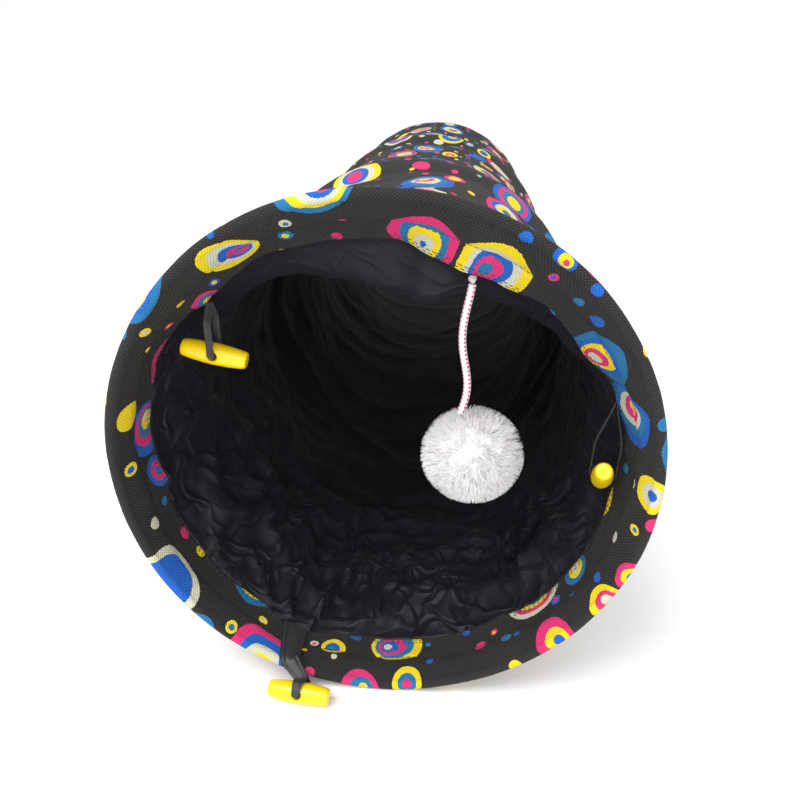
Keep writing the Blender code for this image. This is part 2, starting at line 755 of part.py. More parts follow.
def build_floor_toggle(number, mesh):
    root = root_point(FLOOR_ROOT_ANGLE, CLEARANCE + TAPE_THICKNESS / 2)
    radius = BARREL_RADIUS + PARTING_RIDGE
    centre = Vector((root.x + FLOOR_SHIFT, NEAR_Y - FLOOR_REACH, radius))
    yaw = math.radians(FLOOR_TOGGLE_YAW)
    rise = math.radians(FLOOR_HOLE_RISE)
    along = Vector((math.cos(yaw), math.sin(yaw), 0))
    level = Vector((math.sin(yaw), -math.cos(yaw), 0))
    across = level * math.cos(rise) + Vector((0, 0, math.sin(rise)))
    path = floor_tape_path(root, centre, along, level)
    widths = []
    for point, _ in path:
        back = smooth_between(point.y, centre.y + BARREL_RADIUS, NEAR_Y + HEM_RADIUS)
        widths.append(TAPE_WIDTH + (TAPE_ROOT_WIDTH - TAPE_WIDTH) * back)
    name = f"toggle_tape_{number}"
    tape = strip_mesh(name, [point for point, _ in path], [across for _, across in path], widths)
    inward = facet_directions(math.radians(FLOOR_ROOT_ANGLE))[1]
    hinge = root + inward * (TAPE_THICKNESS * 3 / 2 + CLEARANCE)
    add_object(name, tape, TAPE_LOOK, origin=hinge)
    place_barrel(f"toggle_{number}", mesh, centre, along, across, 0)
    report_joint(f"toggle_{number}", hinge, centre, across)


def build_toggles():
    mesh = barrel_mesh()
    left = (LEFT_DROP, LEFT_LEAN, LEFT_INSET)
    right = (RIGHT_DROP, RIGHT_LEAN, RIGHT_INSET)
    build_hanging_toggle(1, mesh, LEFT_ROOT_ANGLE, left, LEFT_TOGGLE_YAW, LEFT_TOGGLE_TIP)
    build_hanging_toggle(2, mesh, RIGHT_ROOT_ANGLE, right, RIGHT_TOGGLE_YAW, RIGHT_TOGGLE_TIP)
    build_floor_toggle(3, mesh)


# Pompom


def ball_mesh(name, centre, diameter, sides, rings):
    work = bmesh.new()
    bmesh.ops.create_uvsphere(
        work, u_segments=sides, v_segments=rings, radius=diameter / 2, matrix=Matrix.Translation(centre)
    )
    return finished_mesh(name, work)


def string_offset(share):
    """How far the string wanders to the left of the plumb line at a share of its drop."""
    return STRING_LEAN * share + STRING_WAVE * math.sin(2 * math.pi * share**STRING_WAVE_POWER)


def build_string(top, drop):
    """The free elastic from the knot to the pompom, as a tube on a smooth, faintly waved line."""
    curve = bpy.data.curves.new("pompom_string", "CURVE")
    curve.dimensions = "3D"
    curve.bevel_depth = STRING_DIAMETER / 2
    curve.bevel_resolution = 2
    curve.resolution_u = 1
    curve.render_resolution_u = 0
    curve.use_fill_caps = True
    spline = curve.splines.new("POLY")
    spline.points.add(STRING_POINTS - 1)
    for k in range(STRING_POINTS):
        share = k / (STRING_POINTS - 1)
        spline.points[k].co = (top.x - string_offset(share), top.y, top.z - drop * share, 1)
    curve.materials.append(material(STRING_LOOK))
    item = bpy.data.objects.new("pompom_string", curve)
    bpy.context.scene.collection.objects.link(item)


def build_pompom():
    knot_radius = KNOT_DIAMETER / 2
    knot = root_point(STRING_ANGLE, knot_radius + CLEARANCE)
    top = knot - Vector((0, 0, knot_radius + CLEARANCE))
    bottom = top - Vector((0, 0, STRING_DROP))
    centre = bottom - Vector((0, 0, POMPOM_DIAMETER / 2 + CLEARANCE))
    knot_mesh = ball_mesh("string_knot", knot, KNOT_DIAMETER, KNOT_SIDES, KNOT_RINGS)
    add_object("string_knot", knot_mesh, STRING_LOOK, origin=knot)
    build_string(top, STRING_DROP)
    plush = ball_mesh("pompom", centre, POMPOM_DIAMETER, POMPOM_SIDES, POMPOM_RINGS)
    add_object("pompom", plush, PLUSH_LOOK, origin=knot)
    report_joint("pompom", knot, centre, Vector((0, 1, 0)))


# Catch loops


def build_catch_loop(number, angle_degrees):
    """A loop of round elastic, sewn to the far hem, that the toggle on the same side is pushed through."""
    angle = math.radians(angle_degrees)
    height = FAR_RADIUS * FACET_SHARE
    bore = facet_radius(FAR_RADIUS - 2 * HEM_RADIUS, angle)
    outward = Vector((math.cos(angle), 0, math.sin(angle)))
    sideways = Vector((-math.sin(angle), 0, math.cos(angle)))
    start = hoop_point(bore - CLEARANCE - LOOP_CORD / 2, angle, TUNNEL_LENGTH - HEM_RADIUS, height)
    narrow = LOOP_CORD / 2 + CLEARANCE
    rings = []
    for k in range(LOOP_POINTS):
        turn = 2 * math.pi * (k + 0.5) / LOOP_POINTS
        reach = (1 - math.cos(turn)) / 2
        swell = narrow + (LOOP_WIDTH / 2 - narrow) * math.sin(math.pi * reach**0.8) ** 0.7
        swing = math.sin(turn)
        side = max(swell, narrow) if swing > 0 else -max(swell, narrow)
        depth = (LOOP_LENGTH - LOOP_CORD) * reach
        rings.append((start - outward * depth + sideways * side, depth))
    centres = [centre for centre, _ in rings]
    sections = []
    for k, centre in enumerate(centres):
        tangent = (centres[(k + 1) % LOOP_POINTS] - centres[k - 1]).normalized()
        sections.append(wire_section(centre, tangent, LOOP_CORD / 2, LOOP_SIDES))
    name = f"catch_loop_{number}"
    add_object(name, ring_mesh(name, sections), TAPE_LOOK)
    middle = start - outward * (LOOP_LENGTH - LOOP_CORD) / 2
    print(f"{name} gap centre {tuple(round(value, 4) for value in middle)}")


def report_joint(name, root, centre, across):
    for label, value in (("root", root), ("centre", centre), ("cross axis", across)):
        print(f"{name} {label} {tuple(round(number, 5) for number in value)}")


def report_fold():
    """The travel of the far end, and each middle hoop's share of it, as the cloth folds evenly."""
    span = TUNNEL_LENGTH - FACING_DEPTH
    print("near mouth y", round(NEAR_Y, 5), "fold travel", round((1 - FOLDED_CLOTH_SHARE) * span, 5))
    for place in HOOP_PLACES:
        print("middle hoop ratio", round((place - FACING_DEPTH) / span, 6))
    print("cloth anchor y", round(NEAR_Y + FACING_DEPTH, 5))


def main():
    clear_scene()
    build_end("near", END_RADIUS, FACING_DEPTH, BAND_END_RADIUS, at_far_end=False)
    build_near_facing()
    build_cover()
    build_lining()
    for number, place in enumerate(HOOP_PLACES, start=1):
        build_middle_hoop(number, place)
    far_band_radius = outer_radius(TUNNEL_LENGTH - FAR_BAND_DEPTH)
    build_end("far", FAR_RADIUS, FAR_BAND_DEPTH, far_band_radius, at_far_end=True)
    build_far_facing()
    for number, angle in enumerate((LEFT_ROOT_ANGLE, RIGHT_ROOT_ANGLE, FLOOR_ROOT_ANGLE), start=1):
        build_catch_loop(number, angle)
    build_toggles()
    build_pompom()
    report_fold()


main()
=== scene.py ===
"""Cat tunnel lying on a pale floor, seen from above its near mouth.

The cloth is lofted as grids of points round the tunnel's axis, in the part's own frame: metres, +Z up,
the mouth facing -Y. The canvas carries a map in metres that runs on from the body over the rolled hem
to the facing, so the print lies on the cloth wherever it goes.
"""

import json
from dataclasses import dataclass
from math import cos, pi, radians, sin, sqrt, tau

import bmesh
import bpy
import numpy as np
from mathutils import Matrix, Vector, noise

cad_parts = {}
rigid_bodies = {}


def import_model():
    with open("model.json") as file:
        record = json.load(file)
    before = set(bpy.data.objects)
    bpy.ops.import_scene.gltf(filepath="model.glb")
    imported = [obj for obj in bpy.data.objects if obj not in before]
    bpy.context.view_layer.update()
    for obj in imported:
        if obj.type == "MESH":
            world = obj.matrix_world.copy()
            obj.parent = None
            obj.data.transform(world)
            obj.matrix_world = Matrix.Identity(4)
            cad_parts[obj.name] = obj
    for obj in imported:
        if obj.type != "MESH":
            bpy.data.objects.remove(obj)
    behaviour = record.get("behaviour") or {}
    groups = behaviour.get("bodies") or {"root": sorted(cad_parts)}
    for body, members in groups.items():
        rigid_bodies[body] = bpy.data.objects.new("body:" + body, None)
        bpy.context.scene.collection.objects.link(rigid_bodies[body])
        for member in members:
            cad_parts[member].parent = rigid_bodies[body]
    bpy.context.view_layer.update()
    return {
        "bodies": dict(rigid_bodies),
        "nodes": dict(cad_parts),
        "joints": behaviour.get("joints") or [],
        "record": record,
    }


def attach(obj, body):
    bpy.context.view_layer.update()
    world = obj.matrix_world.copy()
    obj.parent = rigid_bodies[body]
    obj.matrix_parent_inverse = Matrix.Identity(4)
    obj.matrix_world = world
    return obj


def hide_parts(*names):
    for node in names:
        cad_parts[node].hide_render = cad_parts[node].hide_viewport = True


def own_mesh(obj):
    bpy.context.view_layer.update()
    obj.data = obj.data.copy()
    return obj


# Sizes of the part, in metres
TUNNEL_LENGTH = 0.9
NEAR_Y = -0.440375
END_RADIUS = 0.15
FAR_RADIUS = 0.1425
BODY_RADIUS = 0.1425
BAND_END_RADIUS = 0.1445
HOOP_PLACES = (0.3, 0.6)
FACET = tau / 40
FACET_SHARE = cos(FACET / 2)
ROUND_SHARE = (1 + FACET_SHARE) / 2
CANVAS = 0.0009
LINING_CLOTH = 0.0005
SLEEVE_CLOTH = 0.0006
CHANNEL_RADIUS = 0.00225
HEM_RADIUS = 0.00315
SLEEVE_RADIUS = 0.00285
SLEEVE_FLANGE = 0.004
CLEARANCE = 0.0003
RETURN_END = 0.0066
FACING_START_RADIUS = 0.1432
FACING_WIDTH = 0.0365
FACING_DEPTH = 0.0431
FAR_BAND_DEPTH = 0.01
BODY_START = FACING_DEPTH + CLEARANCE
COVER_END = TUNNEL_LENGTH - FAR_BAND_DEPTH - CLEARANCE
LINING_END = TUNNEL_LENGTH - FACING_DEPTH - CLEARANCE
FAR_Y = NEAR_Y + TUNNEL_LENGTH
AXIS_HEIGHT = END_RADIUS * FACET_SHARE

# Look of the loose cloth, in metres
SAG = 0.009
SIDE_SAG_SHARE = 0.4
FOLD_HEIGHT = 0.005
HOOP_DIP = 0.006
DIP_PLACE = 0.028
DIP_WIDTH = 0.014
CREASE = 0.0032
LINING_CREASE = 0.0125
LINING_BLEND = 0.12
ROOT_CREASE = 0.0085
PUCKER = 0.0012
HEM_SHARE = 0.52
HEM_PUFF = 0.0018
HEM_SEAM_DIP = 0.0007
SEAM_ANGLE = radians(-114.4)
STITCH_ROWS = (HEM_SHARE, 0.9, 0.955)
STITCH_LENGTH = 0.0026
STITCH_GAP = 0.0010
STITCH_RADIUS = 0.00022
STITCH_RINGS = (
    (-0.5, 0.45, -0.6), (-0.36, 0.95, 0.35), (0, 1.0, 0.7), (0.36, 0.95, 0.35), (0.5, 0.45, -0.6),
)

# Toggles, tapes, string and pompom
BARREL_LENGTH = 0.0375
BARREL_RADIUS = 0.00625
BARREL_END_RADIUS = 0.00475
BARREL_EDGE = 0.0012
HOLE_RADIUS = 0.0027
RIDGE = 0.0002
TAPE_WIDTH = 0.0042
TAPE_THICKNESS = 0.001
TAPE_ROOT_WIDTH = 0.0155
TAPE_STEPS = 150
PLEAT = 0.0009
LEG_OFFSET = BARREL_RADIUS + RIDGE + CLEARANCE + TAPE_THICKNESS / 2
TOGGLE_1_ROOT = Vector((-0.0966, -0.40017, 0.23234))
TOGGLE_1_CENTRE = Vector((-0.0966, -0.40017, 0.20204))
TOGGLE_2_ROOT = Vector((0.12907, -0.39839, 0.17934))
TOGGLE_2_CENTRE = Vector((0.12457, -0.40439, 0.13554))
TOGGLE_3_ROOT = Vector((-0.05833, -0.41366, 0.02094))
TOGGLE_3_CENTRE = Vector((-0.04853, -0.45188, 0.00645))
FLOOR_ROOT_ANGLE = SEAM_ANGLE
FLOOR_YAW = -7.7
FLOOR_RISE = 25
KNOT = Vector((0.04612, -0.41106, 0.25026))
KNOT_RADIUS = 0.0024
STRING_RADIUS = 0.002
STRING_DROP = 0.0725
STRING_LEAN = 0.004
STRING_WAVE = 0.0026
POMPOM_RADIUS = 0.028
POMPOM_CENTRE = Vector((0.04612, -0.41106, 0.14676))
POMPOM_SHIFT = (0.0035, 0.0, 0.0035)
POMPOM_SQUASH = 0.94
STRANDS = 9000
LOOP_ANGLES = (139.4, 13, -114.4)
LOOP_CORD = 0.0024
LOOP_LENGTH = 0.024
LOOP_HALF_WIDTH = 0.0085

# Loose swag of lining behind the facing's edge: angle in degrees and depth
SWAG = np.array((
    (12, 0.0), (24, 0.001), (38, 0.007), (54, 0.010), (66, 0.0155), (76, 0.0275), (88, 0.031), (100, 0.0235),
    (116, 0.0125), (130, 0.0055), (143, 0.001), (160, 0.0),
))

# Pinches in the facing's edge: angle, width in degrees and depth
PINCHES = (
    (1.5, 4.5, 0.0065), (9.0, 3.0, 0.0020), (-168.0, 4.0, 0.0050), (147.0, 3.0, 0.0030),
    (-58.0, 3.0, 0.0015), (118.0, 13.0, -0.0045),
)

# Drawn-in edge of the facing: angle in degrees, droop and width as shares of the facing's width
EDGE_SHARES = np.array((
    (-180, 0.0, 0.95), (-150, 0.0, 0.86), (-125, 0.0, 0.8), (-114, 0.0, 0.55), (-103, 0.0, 0.8),
    (-50, 0.0, 0.85), (-30, 0.02, 1.0), (-12, 0.18, 1.0), (3, 0.04, 1.0), (14, 0.25, 1.0), (32, 0.55, 1.0),
    (44, 0.58, 1.0), (57, 0.72, 1.0), (69, 0.8, 1.0), (77, 0.75, 1.0), (87, 0.6, 1.0), (111, 0.6, 1.0),
    (125, 0.48, 1.0), (140, 0.39, 1.0), (148, 0.16, 1.0), (165, 0.03, 1.0), (180, 0.0, 0.95),
))


# Frame


def settle(item, body, node=None):
    """Says which body a piece rides on and the node it stands for."""
    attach(item, body)
    if node:
        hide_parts(node)


# Meshes


def linked(name, data):
    item = bpy.data.objects.new(name, data)
    bpy.context.scene.collection.objects.link(item)
    return item


def mesh_object(name, points, faces, material, uv=None):
    """Links a mesh from arrays: points (n, 3), faces (m, corners), uv (m, corners, 2) in metres."""
    mesh = bpy.data.meshes.new(name)
    faces = np.ascontiguousarray(faces, dtype=np.int32)
    mesh.vertices.add(len(points))
    mesh.vertices.foreach_set("co", np.asarray(points, dtype=np.float32).ravel())
    mesh.loops.add(faces.size)
    mesh.loops.foreach_set("vertex_index", faces.ravel())
    mesh.polygons.add(len(faces))
    mesh.polygons.foreach_set("loop_start", np.arange(0, faces.size, faces.shape[1], dtype=np.int32))
    if uv is not None:
        layer = mesh.uv_layers.new(name="cloth")
        layer.uv.foreach_set("vector", np.asarray(uv, dtype=np.float32).ravel())
    mesh.update(calc_edges=True)
    mesh.validate()
    mesh.shade_smooth()
    mesh.materials.append(material)
    return linked(name, mesh)


def grid_faces(rows, columns, around=True, closed_rows=False, flip=False):
    """Quads of a grid and, for each corner, its row and column before wrapping."""
    across = columns if around else columns - 1
    down = rows if closed_rows else rows - 1
    i, j = np.meshgrid(np.arange(down), np.arange(across), indexing="ij")
    i = i.ravel()
    j = j.ravel()
    corner_rows = np.stack((i, i, i + 1, i + 1), axis=1)
    corner_columns = np.stack((j, j + 1, j + 1, j), axis=1)
    if flip:
        corner_rows = corner_rows[:, ::-1]
        corner_columns = corner_columns[:, ::-1]
    faces = (corner_rows % rows) * columns + corner_columns % columns
    return faces, corner_rows, corner_columns


def cloth(name, points, v, material, flip=False, thickness=CANVAS):
    """A sheet from a grid of points (rows, columns, 3) that closes round the tunnel, v along it."""
    rows, columns = points.shape[:2]
    faces, corner_rows, corner_columns = grid_faces(rows, columns, flip=flip)
    u = column_angles(columns) * END_RADIUS
    u = np.append(u, u[0] + tau * END_RADIUS)
    uv = np.stack((u[corner_columns], v.ravel()[corner_rows]), axis=2)
    item = mesh_object(name, points.reshape(-1, 3), faces, material, uv)
    solid = item.modifiers.new("thickness", "SOLIDIFY")
    solid.thickness = thickness
    solid.offset = -1
    return item


def tube_grid(name, rings, material, closed=False, uv_scale=(1, 1)):
    """A tube through rings (rings, sides, 3) with flat ends or, if closed, joined end to end."""
    count, sides = rings.shape[:2]
    faces, corner_rows, corner_columns = grid_faces(count, sides, closed_rows=closed)
    uv = np.stack((corner_columns * uv_scale[0] / sides, corner_rows * uv_scale[1] / count), axis=2)
    item = mesh_object(name, rings.reshape(-1, 3), faces, material, uv)
    if not closed:
        work = bmesh.new()
        work.from_mesh(item.data)
        work.verts.ensure_lookup_table()
        work.faces.new([work.verts[k] for k in range(sides)][::-1])
        work.faces.new([work.verts[(count - 1) * sides + k] for k in range(sides)])
        bmesh.ops.recalc_face_normals(work, faces=work.faces)
        work.to_mesh(item.data)
        work.free()
    return item


def copied_faces(pattern, copies, points_each):
    """The faces of one small piece, repeated for copies whose points follow each other."""
    first = np.arange(copies)[:, None, None] * points_each
    return (first + np.array(pattern)).reshape(-1, len(pattern[0]))


def unit(vectors):
    return vectors / np.linalg.norm(vectors, axis=1, keepdims=True)


def full_turn(count):
    return np.linspace(0, tau, count, endpoint=False)


def tangents_along(path, closed):
    if closed:
        return unit(np.roll(path, -1, axis=0) - np.roll(path, 1, axis=0))
    return unit(np.gradient(path, axis=0))


def across_along(tangents):
    """Two steady cross directions along a path's unit tangents (n, 3)."""
    first = np.cross(tangents[0], (0.0, 1.0, 0.0))
    if np.linalg.norm(first) < 0.2:
        first = np.cross(tangents[0], (1.0, 0.0, 0.0))
    sides = [first / np.linalg.norm(first)]
    for tangent in tangents[1:]:
        side = sides[-1] - tangent * np.dot(sides[-1], tangent)
        sides.append(side / np.linalg.norm(side))
    sides = np.array(sides)
    return sides, np.cross(tangents, sides)


def round_tube(name, path, radius, material, sides, closed=False, relief=None, uv_length=1.0):
    side, up = across_along(tangents_along(path, closed))
    turn = full_turn(sides)
    reach = np.full((len(path), sides), radius)
    if relief is not None:
        reach = reach * relief(np.linspace(0, 1, len(path))[:, None], turn[None, :])
    spread = side[:, None] * np.cos(turn)[None, :, None] + up[:, None] * np.sin(turn)[None, :, None]
    return tube_grid(name, path[:, None] + spread * reach[..., None], material, closed, (1, uv_length))


def travelled(path):
    """The way along a path (n, 3) up to each of its points."""
    return np.append(0, np.cumsum(np.linalg.norm(np.diff(path, axis=0), axis=1)))


def at_places(places, travel, values):
    return np.stack([np.interp(places, travel, values[:, k]) for k in range(3)], axis=1)


def spaced(points, count, closed=False):
    """Points evenly spaced along a rounded line through the given points."""
    points = np.array([tuple(point) for point in points], dtype=float)
    if closed:
        points = np.concatenate((points[-2:], points, points[:3]))
    else:
        points = np.concatenate((points[:1] * 2 - points[1:2], points, points[-1:] * 2 - points[-2:-1]))
    fine = []
    for a, b, c, d in zip(points, points[1:], points[2:], points[3:]):
        for t in np.linspace(0, 1, 24, endpoint=False):
            cubic = -a + 3 * b - 3 * c + d
            fine.append(b + 0.5 * t * (c - a + t * (2 * a - 5 * b + 4 * c - d + t * cubic)))
    fine = np.array(fine)
    fine = fine[24:-24] if closed else np.concatenate((fine, points[-2:-1]))
    travel = travelled(fine)
    return at_places(np.linspace(0, travel[-1], count, endpoint=not closed), travel, fine)


def noise_at(points, size, seed):
    """Smooth noise between about -1 and 1 at points (..., 3), with features of a size in metres."""
    flat = points.reshape(-1, 3) / size + np.array((seed * 7.31, seed * 3.17, seed * 5.73))
    values = np.fromiter((noise.noise(Vector(point)) for point in flat.tolist()), float, len(flat))
    return values.reshape(points.shape[:-1])


def ridges_at(points, size, seed):
    """Creases between 0 and 1, sharp along their crests."""
    return np.clip(1 - 2.2 * np.abs(noise_at(points, size, seed)), 0, 1)


def smooth_between(value, low, high):
    share = np.clip((value - low) / (high - low), 0, 1)
    return share * share * (3 - 2 * share)


def turned_from(angle, middle):
    """The signed turn from a middle to angles, the short way round."""
    return np.angle(np.exp(1j * (angle - middle)))


# The canvas body


def outer_radius(y):
    knots = (HEM_RADIUS, FACING_DEPTH, *HOOP_PLACES, TUNNEL_LENGTH - HEM_RADIUS)
    radii = (END_RADIUS, BAND_END_RADIUS, BODY_RADIUS, BODY_RADIUS, FAR_RADIUS)
    return np.interp(y, knots, radii)


def bay_of(y):
    """The number of the bay and the place in it from 0 to 1, at distances from the near mouth."""
    flat = CHANNEL_RADIUS + SLEEVE_FLANGE + CLEARANCE
    starts = np.array((BODY_START, *(place + flat for place in HOOP_PLACES)))
    ends = np.array((*(place - flat for place in HOOP_PLACES), COVER_END))
    number = np.clip(np.searchsorted(ends, y), 0, 2)
    return number, np.clip((y - starts[number]) / (ends[number] - starts[number]), 0, 1)


def hoop_points(radius, angle, y, height=AXIS_HEIGHT):
    radius, angle, y, height = np.broadcast_arrays(radius, angle, y, height)
    z = height + radius * np.sin(angle)
    return np.stack((radius * np.cos(angle), NEAR_Y + y, np.maximum(z, 0.0003)), axis=-1)


def canvas_drawn_in(angle, y):
    """How far the loose canvas lies inside its taut radius."""
    bay, place = bay_of(y)
    bell = np.sin(pi * place)
    rise = np.sin(angle)
    off_floor = smooth_between(rise, -0.95, -0.55)
    top = SIDE_SAG_SHARE + (1 - SIDE_SAG_SHARE) * np.maximum(rise, 0)
    wave = np.sin(7 * angle + 2 * bay + 2 * place)
    plain = bell * off_floor * (SAG * top + FOLD_HEIGHT * (1 + wave) / 2)
    dips = np.zeros(np.broadcast(angle, y).shape)
    for hoop in HOOP_PLACES:
        for side, share in ((1, 1.0), (-1, 0.55)):
            dips = dips + share * np.exp(-(((y - hoop) * side - DIP_PLACE) / DIP_WIDTH) ** 2)
    round_place = hoop_points(BODY_RADIUS, angle, y)
    stretched = round_place * np.array((1.0, 0.55, 1.0))
    creases = ridges_at(stretched, 0.07, 1) ** 2 * 0.7 + ridges_at(round_place, 0.032, 2) ** 2 * 0.3
    ends = np.clip(bell * 3, 0, 1)
    small = 0.0005 * noise_at(round_place, 0.012, 3)
    above = smooth_between(rise, -0.4, 0.6)
    return plain + ends * off_floor * (HOOP_DIP * dips * above + CREASE * (1 - creases) * 0.9 + small)


def column_angles(columns):
    return SEAM_ANGLE + tau * np.arange(columns) / columns


def body_points(angle, y, drawn_in=0.0):
    """Points of the canvas body, drawn in from where it would be taut."""
    radius = outer_radius(y)
    return hoop_points(radius * ROUND_SHARE - drawn_in, angle, y, radius * FACET_SHARE)


def build_cover(canvas):
    angle = column_angles(360)[None, :]
    y = np.linspace(BODY_START, COVER_END, 250)[:, None]
    cover = cloth("cover_canvas", body_points(angle, y, canvas_drawn_in(angle, y)), y, canvas, flip=True)
    settle(cover, "near_end", "cover")
    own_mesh(cover)


# Hems and facings


def build_hem(side, end_radius, band_depth, band_end_radius, canvas):
    """The canvas's way over an end hoop, from the end of its band to where the facing starts."""
    low = band_end_radius * FACET_SHARE
    high = end_radius * FACET_SHARE
    band = np.linspace(0, 1, 16, endpoint=False)
    turn = np.linspace(pi / 2, 3 * pi / 2 + 0.1, 26)
    radius = band_end_radius + (end_radius - band_end_radius) * band
    radius = np.append(radius, end_radius - HEM_RADIUS + HEM_RADIUS * np.sin(turn))[:, None]
    depth = band_depth + (HEM_RADIUS - band_depth) * band
    v = np.append(depth, HEM_RADIUS - HEM_RADIUS * (turn - pi / 2))
    depth = np.append(depth, HEM_RADIUS * (1 + np.cos(turn)))[:, None]
    height = np.append(low + (high - low) * band, np.full(len(turn), high))[:, None]
    angle = column_angles(600)[None, :]
    ring = hoop_points(END_RADIUS, angle, depth)
    wobble = 0.0005 * noise_at(ring, 0.035, 11) + 0.0002 * noise_at(ring, 0.012, 12)
    far = side == "far"
    y = TUNNEL_LENGTH - depth if far else depth
    points = hoop_points(radius * ROUND_SHARE + wobble, angle, y, height)
    hem = cloth(f"{side}_hem_canvas", points, TUNNEL_LENGTH - v if far else v, canvas, flip=far)
    settle(hem, f"{side}_end", f"{side}_hem")


def edge_shares(angle):
    """Droop and width of the facing at angles, as shares of its width, eased between the listed ones."""
    degrees = np.degrees(np.arctan2(np.sin(angle), np.cos(angle)))
    table = EDGE_SHARES
    number = np.clip(np.searchsorted(table[:, 0], degrees) - 1, 0, len(table) - 2)
    share = smooth_between(degrees, table[number, 0], table[number + 1, 0])
    droop = table[number, 1] + (table[number + 1, 1] - table[number, 1]) * share
    width = table[number, 2] + (table[number + 1, 2] - table[number, 2]) * share
    return droop, width


def band_limit(angle):
    lower = (END_RADIUS - BAND_END_RADIUS) * FACET_SHARE
    inner = BAND_END_RADIUS - CANVAS
    return np.sqrt(inner**2 - (lower * np.cos(angle)) ** 2) - lower * np.sin(angle) - 2 * CLEARANCE


def edge_point(angle):
    """Radius and distance from the mouth of the facing's inner edge, with its puckers."""
    droop, width = edge_shares(angle)
    droop = droop * FACING_WIDTH
    width = width * FACING_WIDTH
    radius = np.minimum(FACING_START_RADIUS - droop, band_limit(angle))
    ring = hoop_points(FACING_START_RADIUS, angle, 0.04)
    pull = 0.6 * noise_at(ring, 0.021, 21) + 0.4 * noise_at(ring, 0.008, 22)
    inward = PUCKER * np.clip(0.5 + pull, 0, 1.2)
    for degrees, spread, depth in PINCHES:
        away = np.degrees(turned_from(angle, radians(degrees))) / spread
        inward = inward + depth * np.exp(-np.abs(away) ** 1.4)
    y = RETURN_END + np.sqrt(width * width - droop * droop) + 0.001 * noise_at(ring, 0.016, 23)
    return radius - inward, y


def facing_points(angle, place):
    """The visible side of the near facing, from 0 at the hem to 1 at its inner edge."""
    radius, y = edge_point(angle)
    start = FACING_START_RADIUS
    bend = np.sin(pi * place)
    ring = hoop_points(start, angle, place * FACING_WIDTH)
    ripple = 0.0007 * noise_at(ring, 0.018, 24) + 0.0004 * noise_at(ring, 0.007, 25)
    from_tape = np.degrees(np.abs(turned_from(angle, FLOOR_ROOT_ANGLE)))
    free = smooth_between(from_tape, 4.5, 11)
    roll = HEM_PUFF * np.sin(pi * np.clip(place / HEM_SHARE, 0, 1)) * (1 + 0.5 * noise_at(ring, 0.05, 26))
    seam = HEM_SEAM_DIP * np.exp(-(((place - HEM_SHARE) / 0.035) ** 2))
    reach = start + (radius - start) * place + bend * (CANVAS + ripple) - CANVAS
    reach = reach + (seam - roll) * free
    depth = RETURN_END - CLEARANCE + (y - RETURN_END + CLEARANCE) * place
    return hoop_points(reach * ROUND_SHARE, angle, depth)


def build_near_facing(canvas):
    """The facing, which leaves the nose of the hem at its inmost line without a step."""
    angle = column_angles(720)[None, :]
    place = np.linspace(0, 1, 52)[:, None]
    body = facing_points(angle, place)
    turn = np.linspace(3 * pi / 2 - 0.5, 3 * pi / 2, 6)[:, None]
    lift = HEM_RADIUS + 0.0001 * np.sin((turn - turn[0]) * pi)
    radius = (END_RADIUS - HEM_RADIUS + lift * np.sin(turn)) * ROUND_SHARE
    nose = hoop_points(radius, angle, HEM_RADIUS + lift * np.cos(turn))
    body = body + (nose[-1:] - body[:1]) * (1 - smooth_between(place, 0, 0.3))[..., None]
    start = HEM_RADIUS - pi * HEM_RADIUS
    v = np.append(HEM_RADIUS * (1 + pi / 2 - turn[:-1]), start - place * FACING_WIDTH)
    facing = cloth("near_facing_canvas", np.concatenate((nose[:-1], body)), v, canvas)
    settle(facing, "near_end", "near_facing")


def build_far_facing(canvas):
    angle = column_angles(480)[None, :]
    place = np.linspace(0, 1, 16)[:, None]
    height = FAR_RADIUS * FACET_SHARE
    start = FACING_START_RADIUS - END_RADIUS + FAR_RADIUS
    ring = hoop_points(start, angle, TUNNEL_LENGTH - place * FACING_WIDTH, height)
    ripple = 0.0006 * noise_at(ring, 0.02, 31) * place
    radius = start - CANVAS + np.sin(pi * place) * CANVAS - 2 * CANVAS * place + ripple
    depth = RETURN_END - CLEARANCE + (FACING_DEPTH - RETURN_END + CLEARANCE) * place
    points = hoop_points(radius * ROUND_SHARE, angle, TUNNEL_LENGTH - depth, height)
    v = TUNNEL_LENGTH - HEM_RADIUS + pi * HEM_RADIUS + place * FACING_WIDTH
    facing = cloth("far_facing_canvas", points, v, canvas, flip=True)
    settle(facing, "far_end", "far_facing")
    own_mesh(facing)


def stitches(name, line, lift, material):
    """A row of thread stitches along a closed line (n, 3), lifted off the cloth by vectors (n, 3)."""
    line = np.concatenate((line, line[:1]))
    lift = np.concatenate((lift, lift[:1]))
    travel = travelled(line)
    count = int(travel[-1] / (STITCH_LENGTH + STITCH_GAP))
    middle = np.arange(count) * travel[-1] / count + STITCH_LENGTH / 2
    centre = at_places(middle, travel, line)
    along = unit(at_places(middle + STITCH_LENGTH / 2, travel, line) - centre)
    up = at_places(middle, travel, lift)
    up = unit(up - along * np.sum(up * along, axis=1, keepdims=True))
    side = np.cross(along, up)
    points = []
    for share, size, rise in STITCH_RINGS:
        ring = centre + along * share * STITCH_LENGTH + up * STITCH_RADIUS * rise
        for a in full_turn(6):
            points.append(ring + (side * cos(a) * 1.15 + up * sin(a)) * STITCH_RADIUS * size)
    pattern = []
    for first in range(0, 24, 6):
        for k in range(6):
            n = (k + 1) % 6
            pattern.append((first + k, first + n, first + 6 + n, first + 6 + k))
    for first, step in ((0, -1), (24, 1)):
        for corners in ((0, 1, 2, 3), (0, 3, 4, 5)):
            pattern.append(tuple(first + k for k in corners[::step]))
    faces = copied_faces(pattern, count, 30)
    return mesh_object(name, np.stack(points, axis=1).reshape(-1, 3), faces, material)


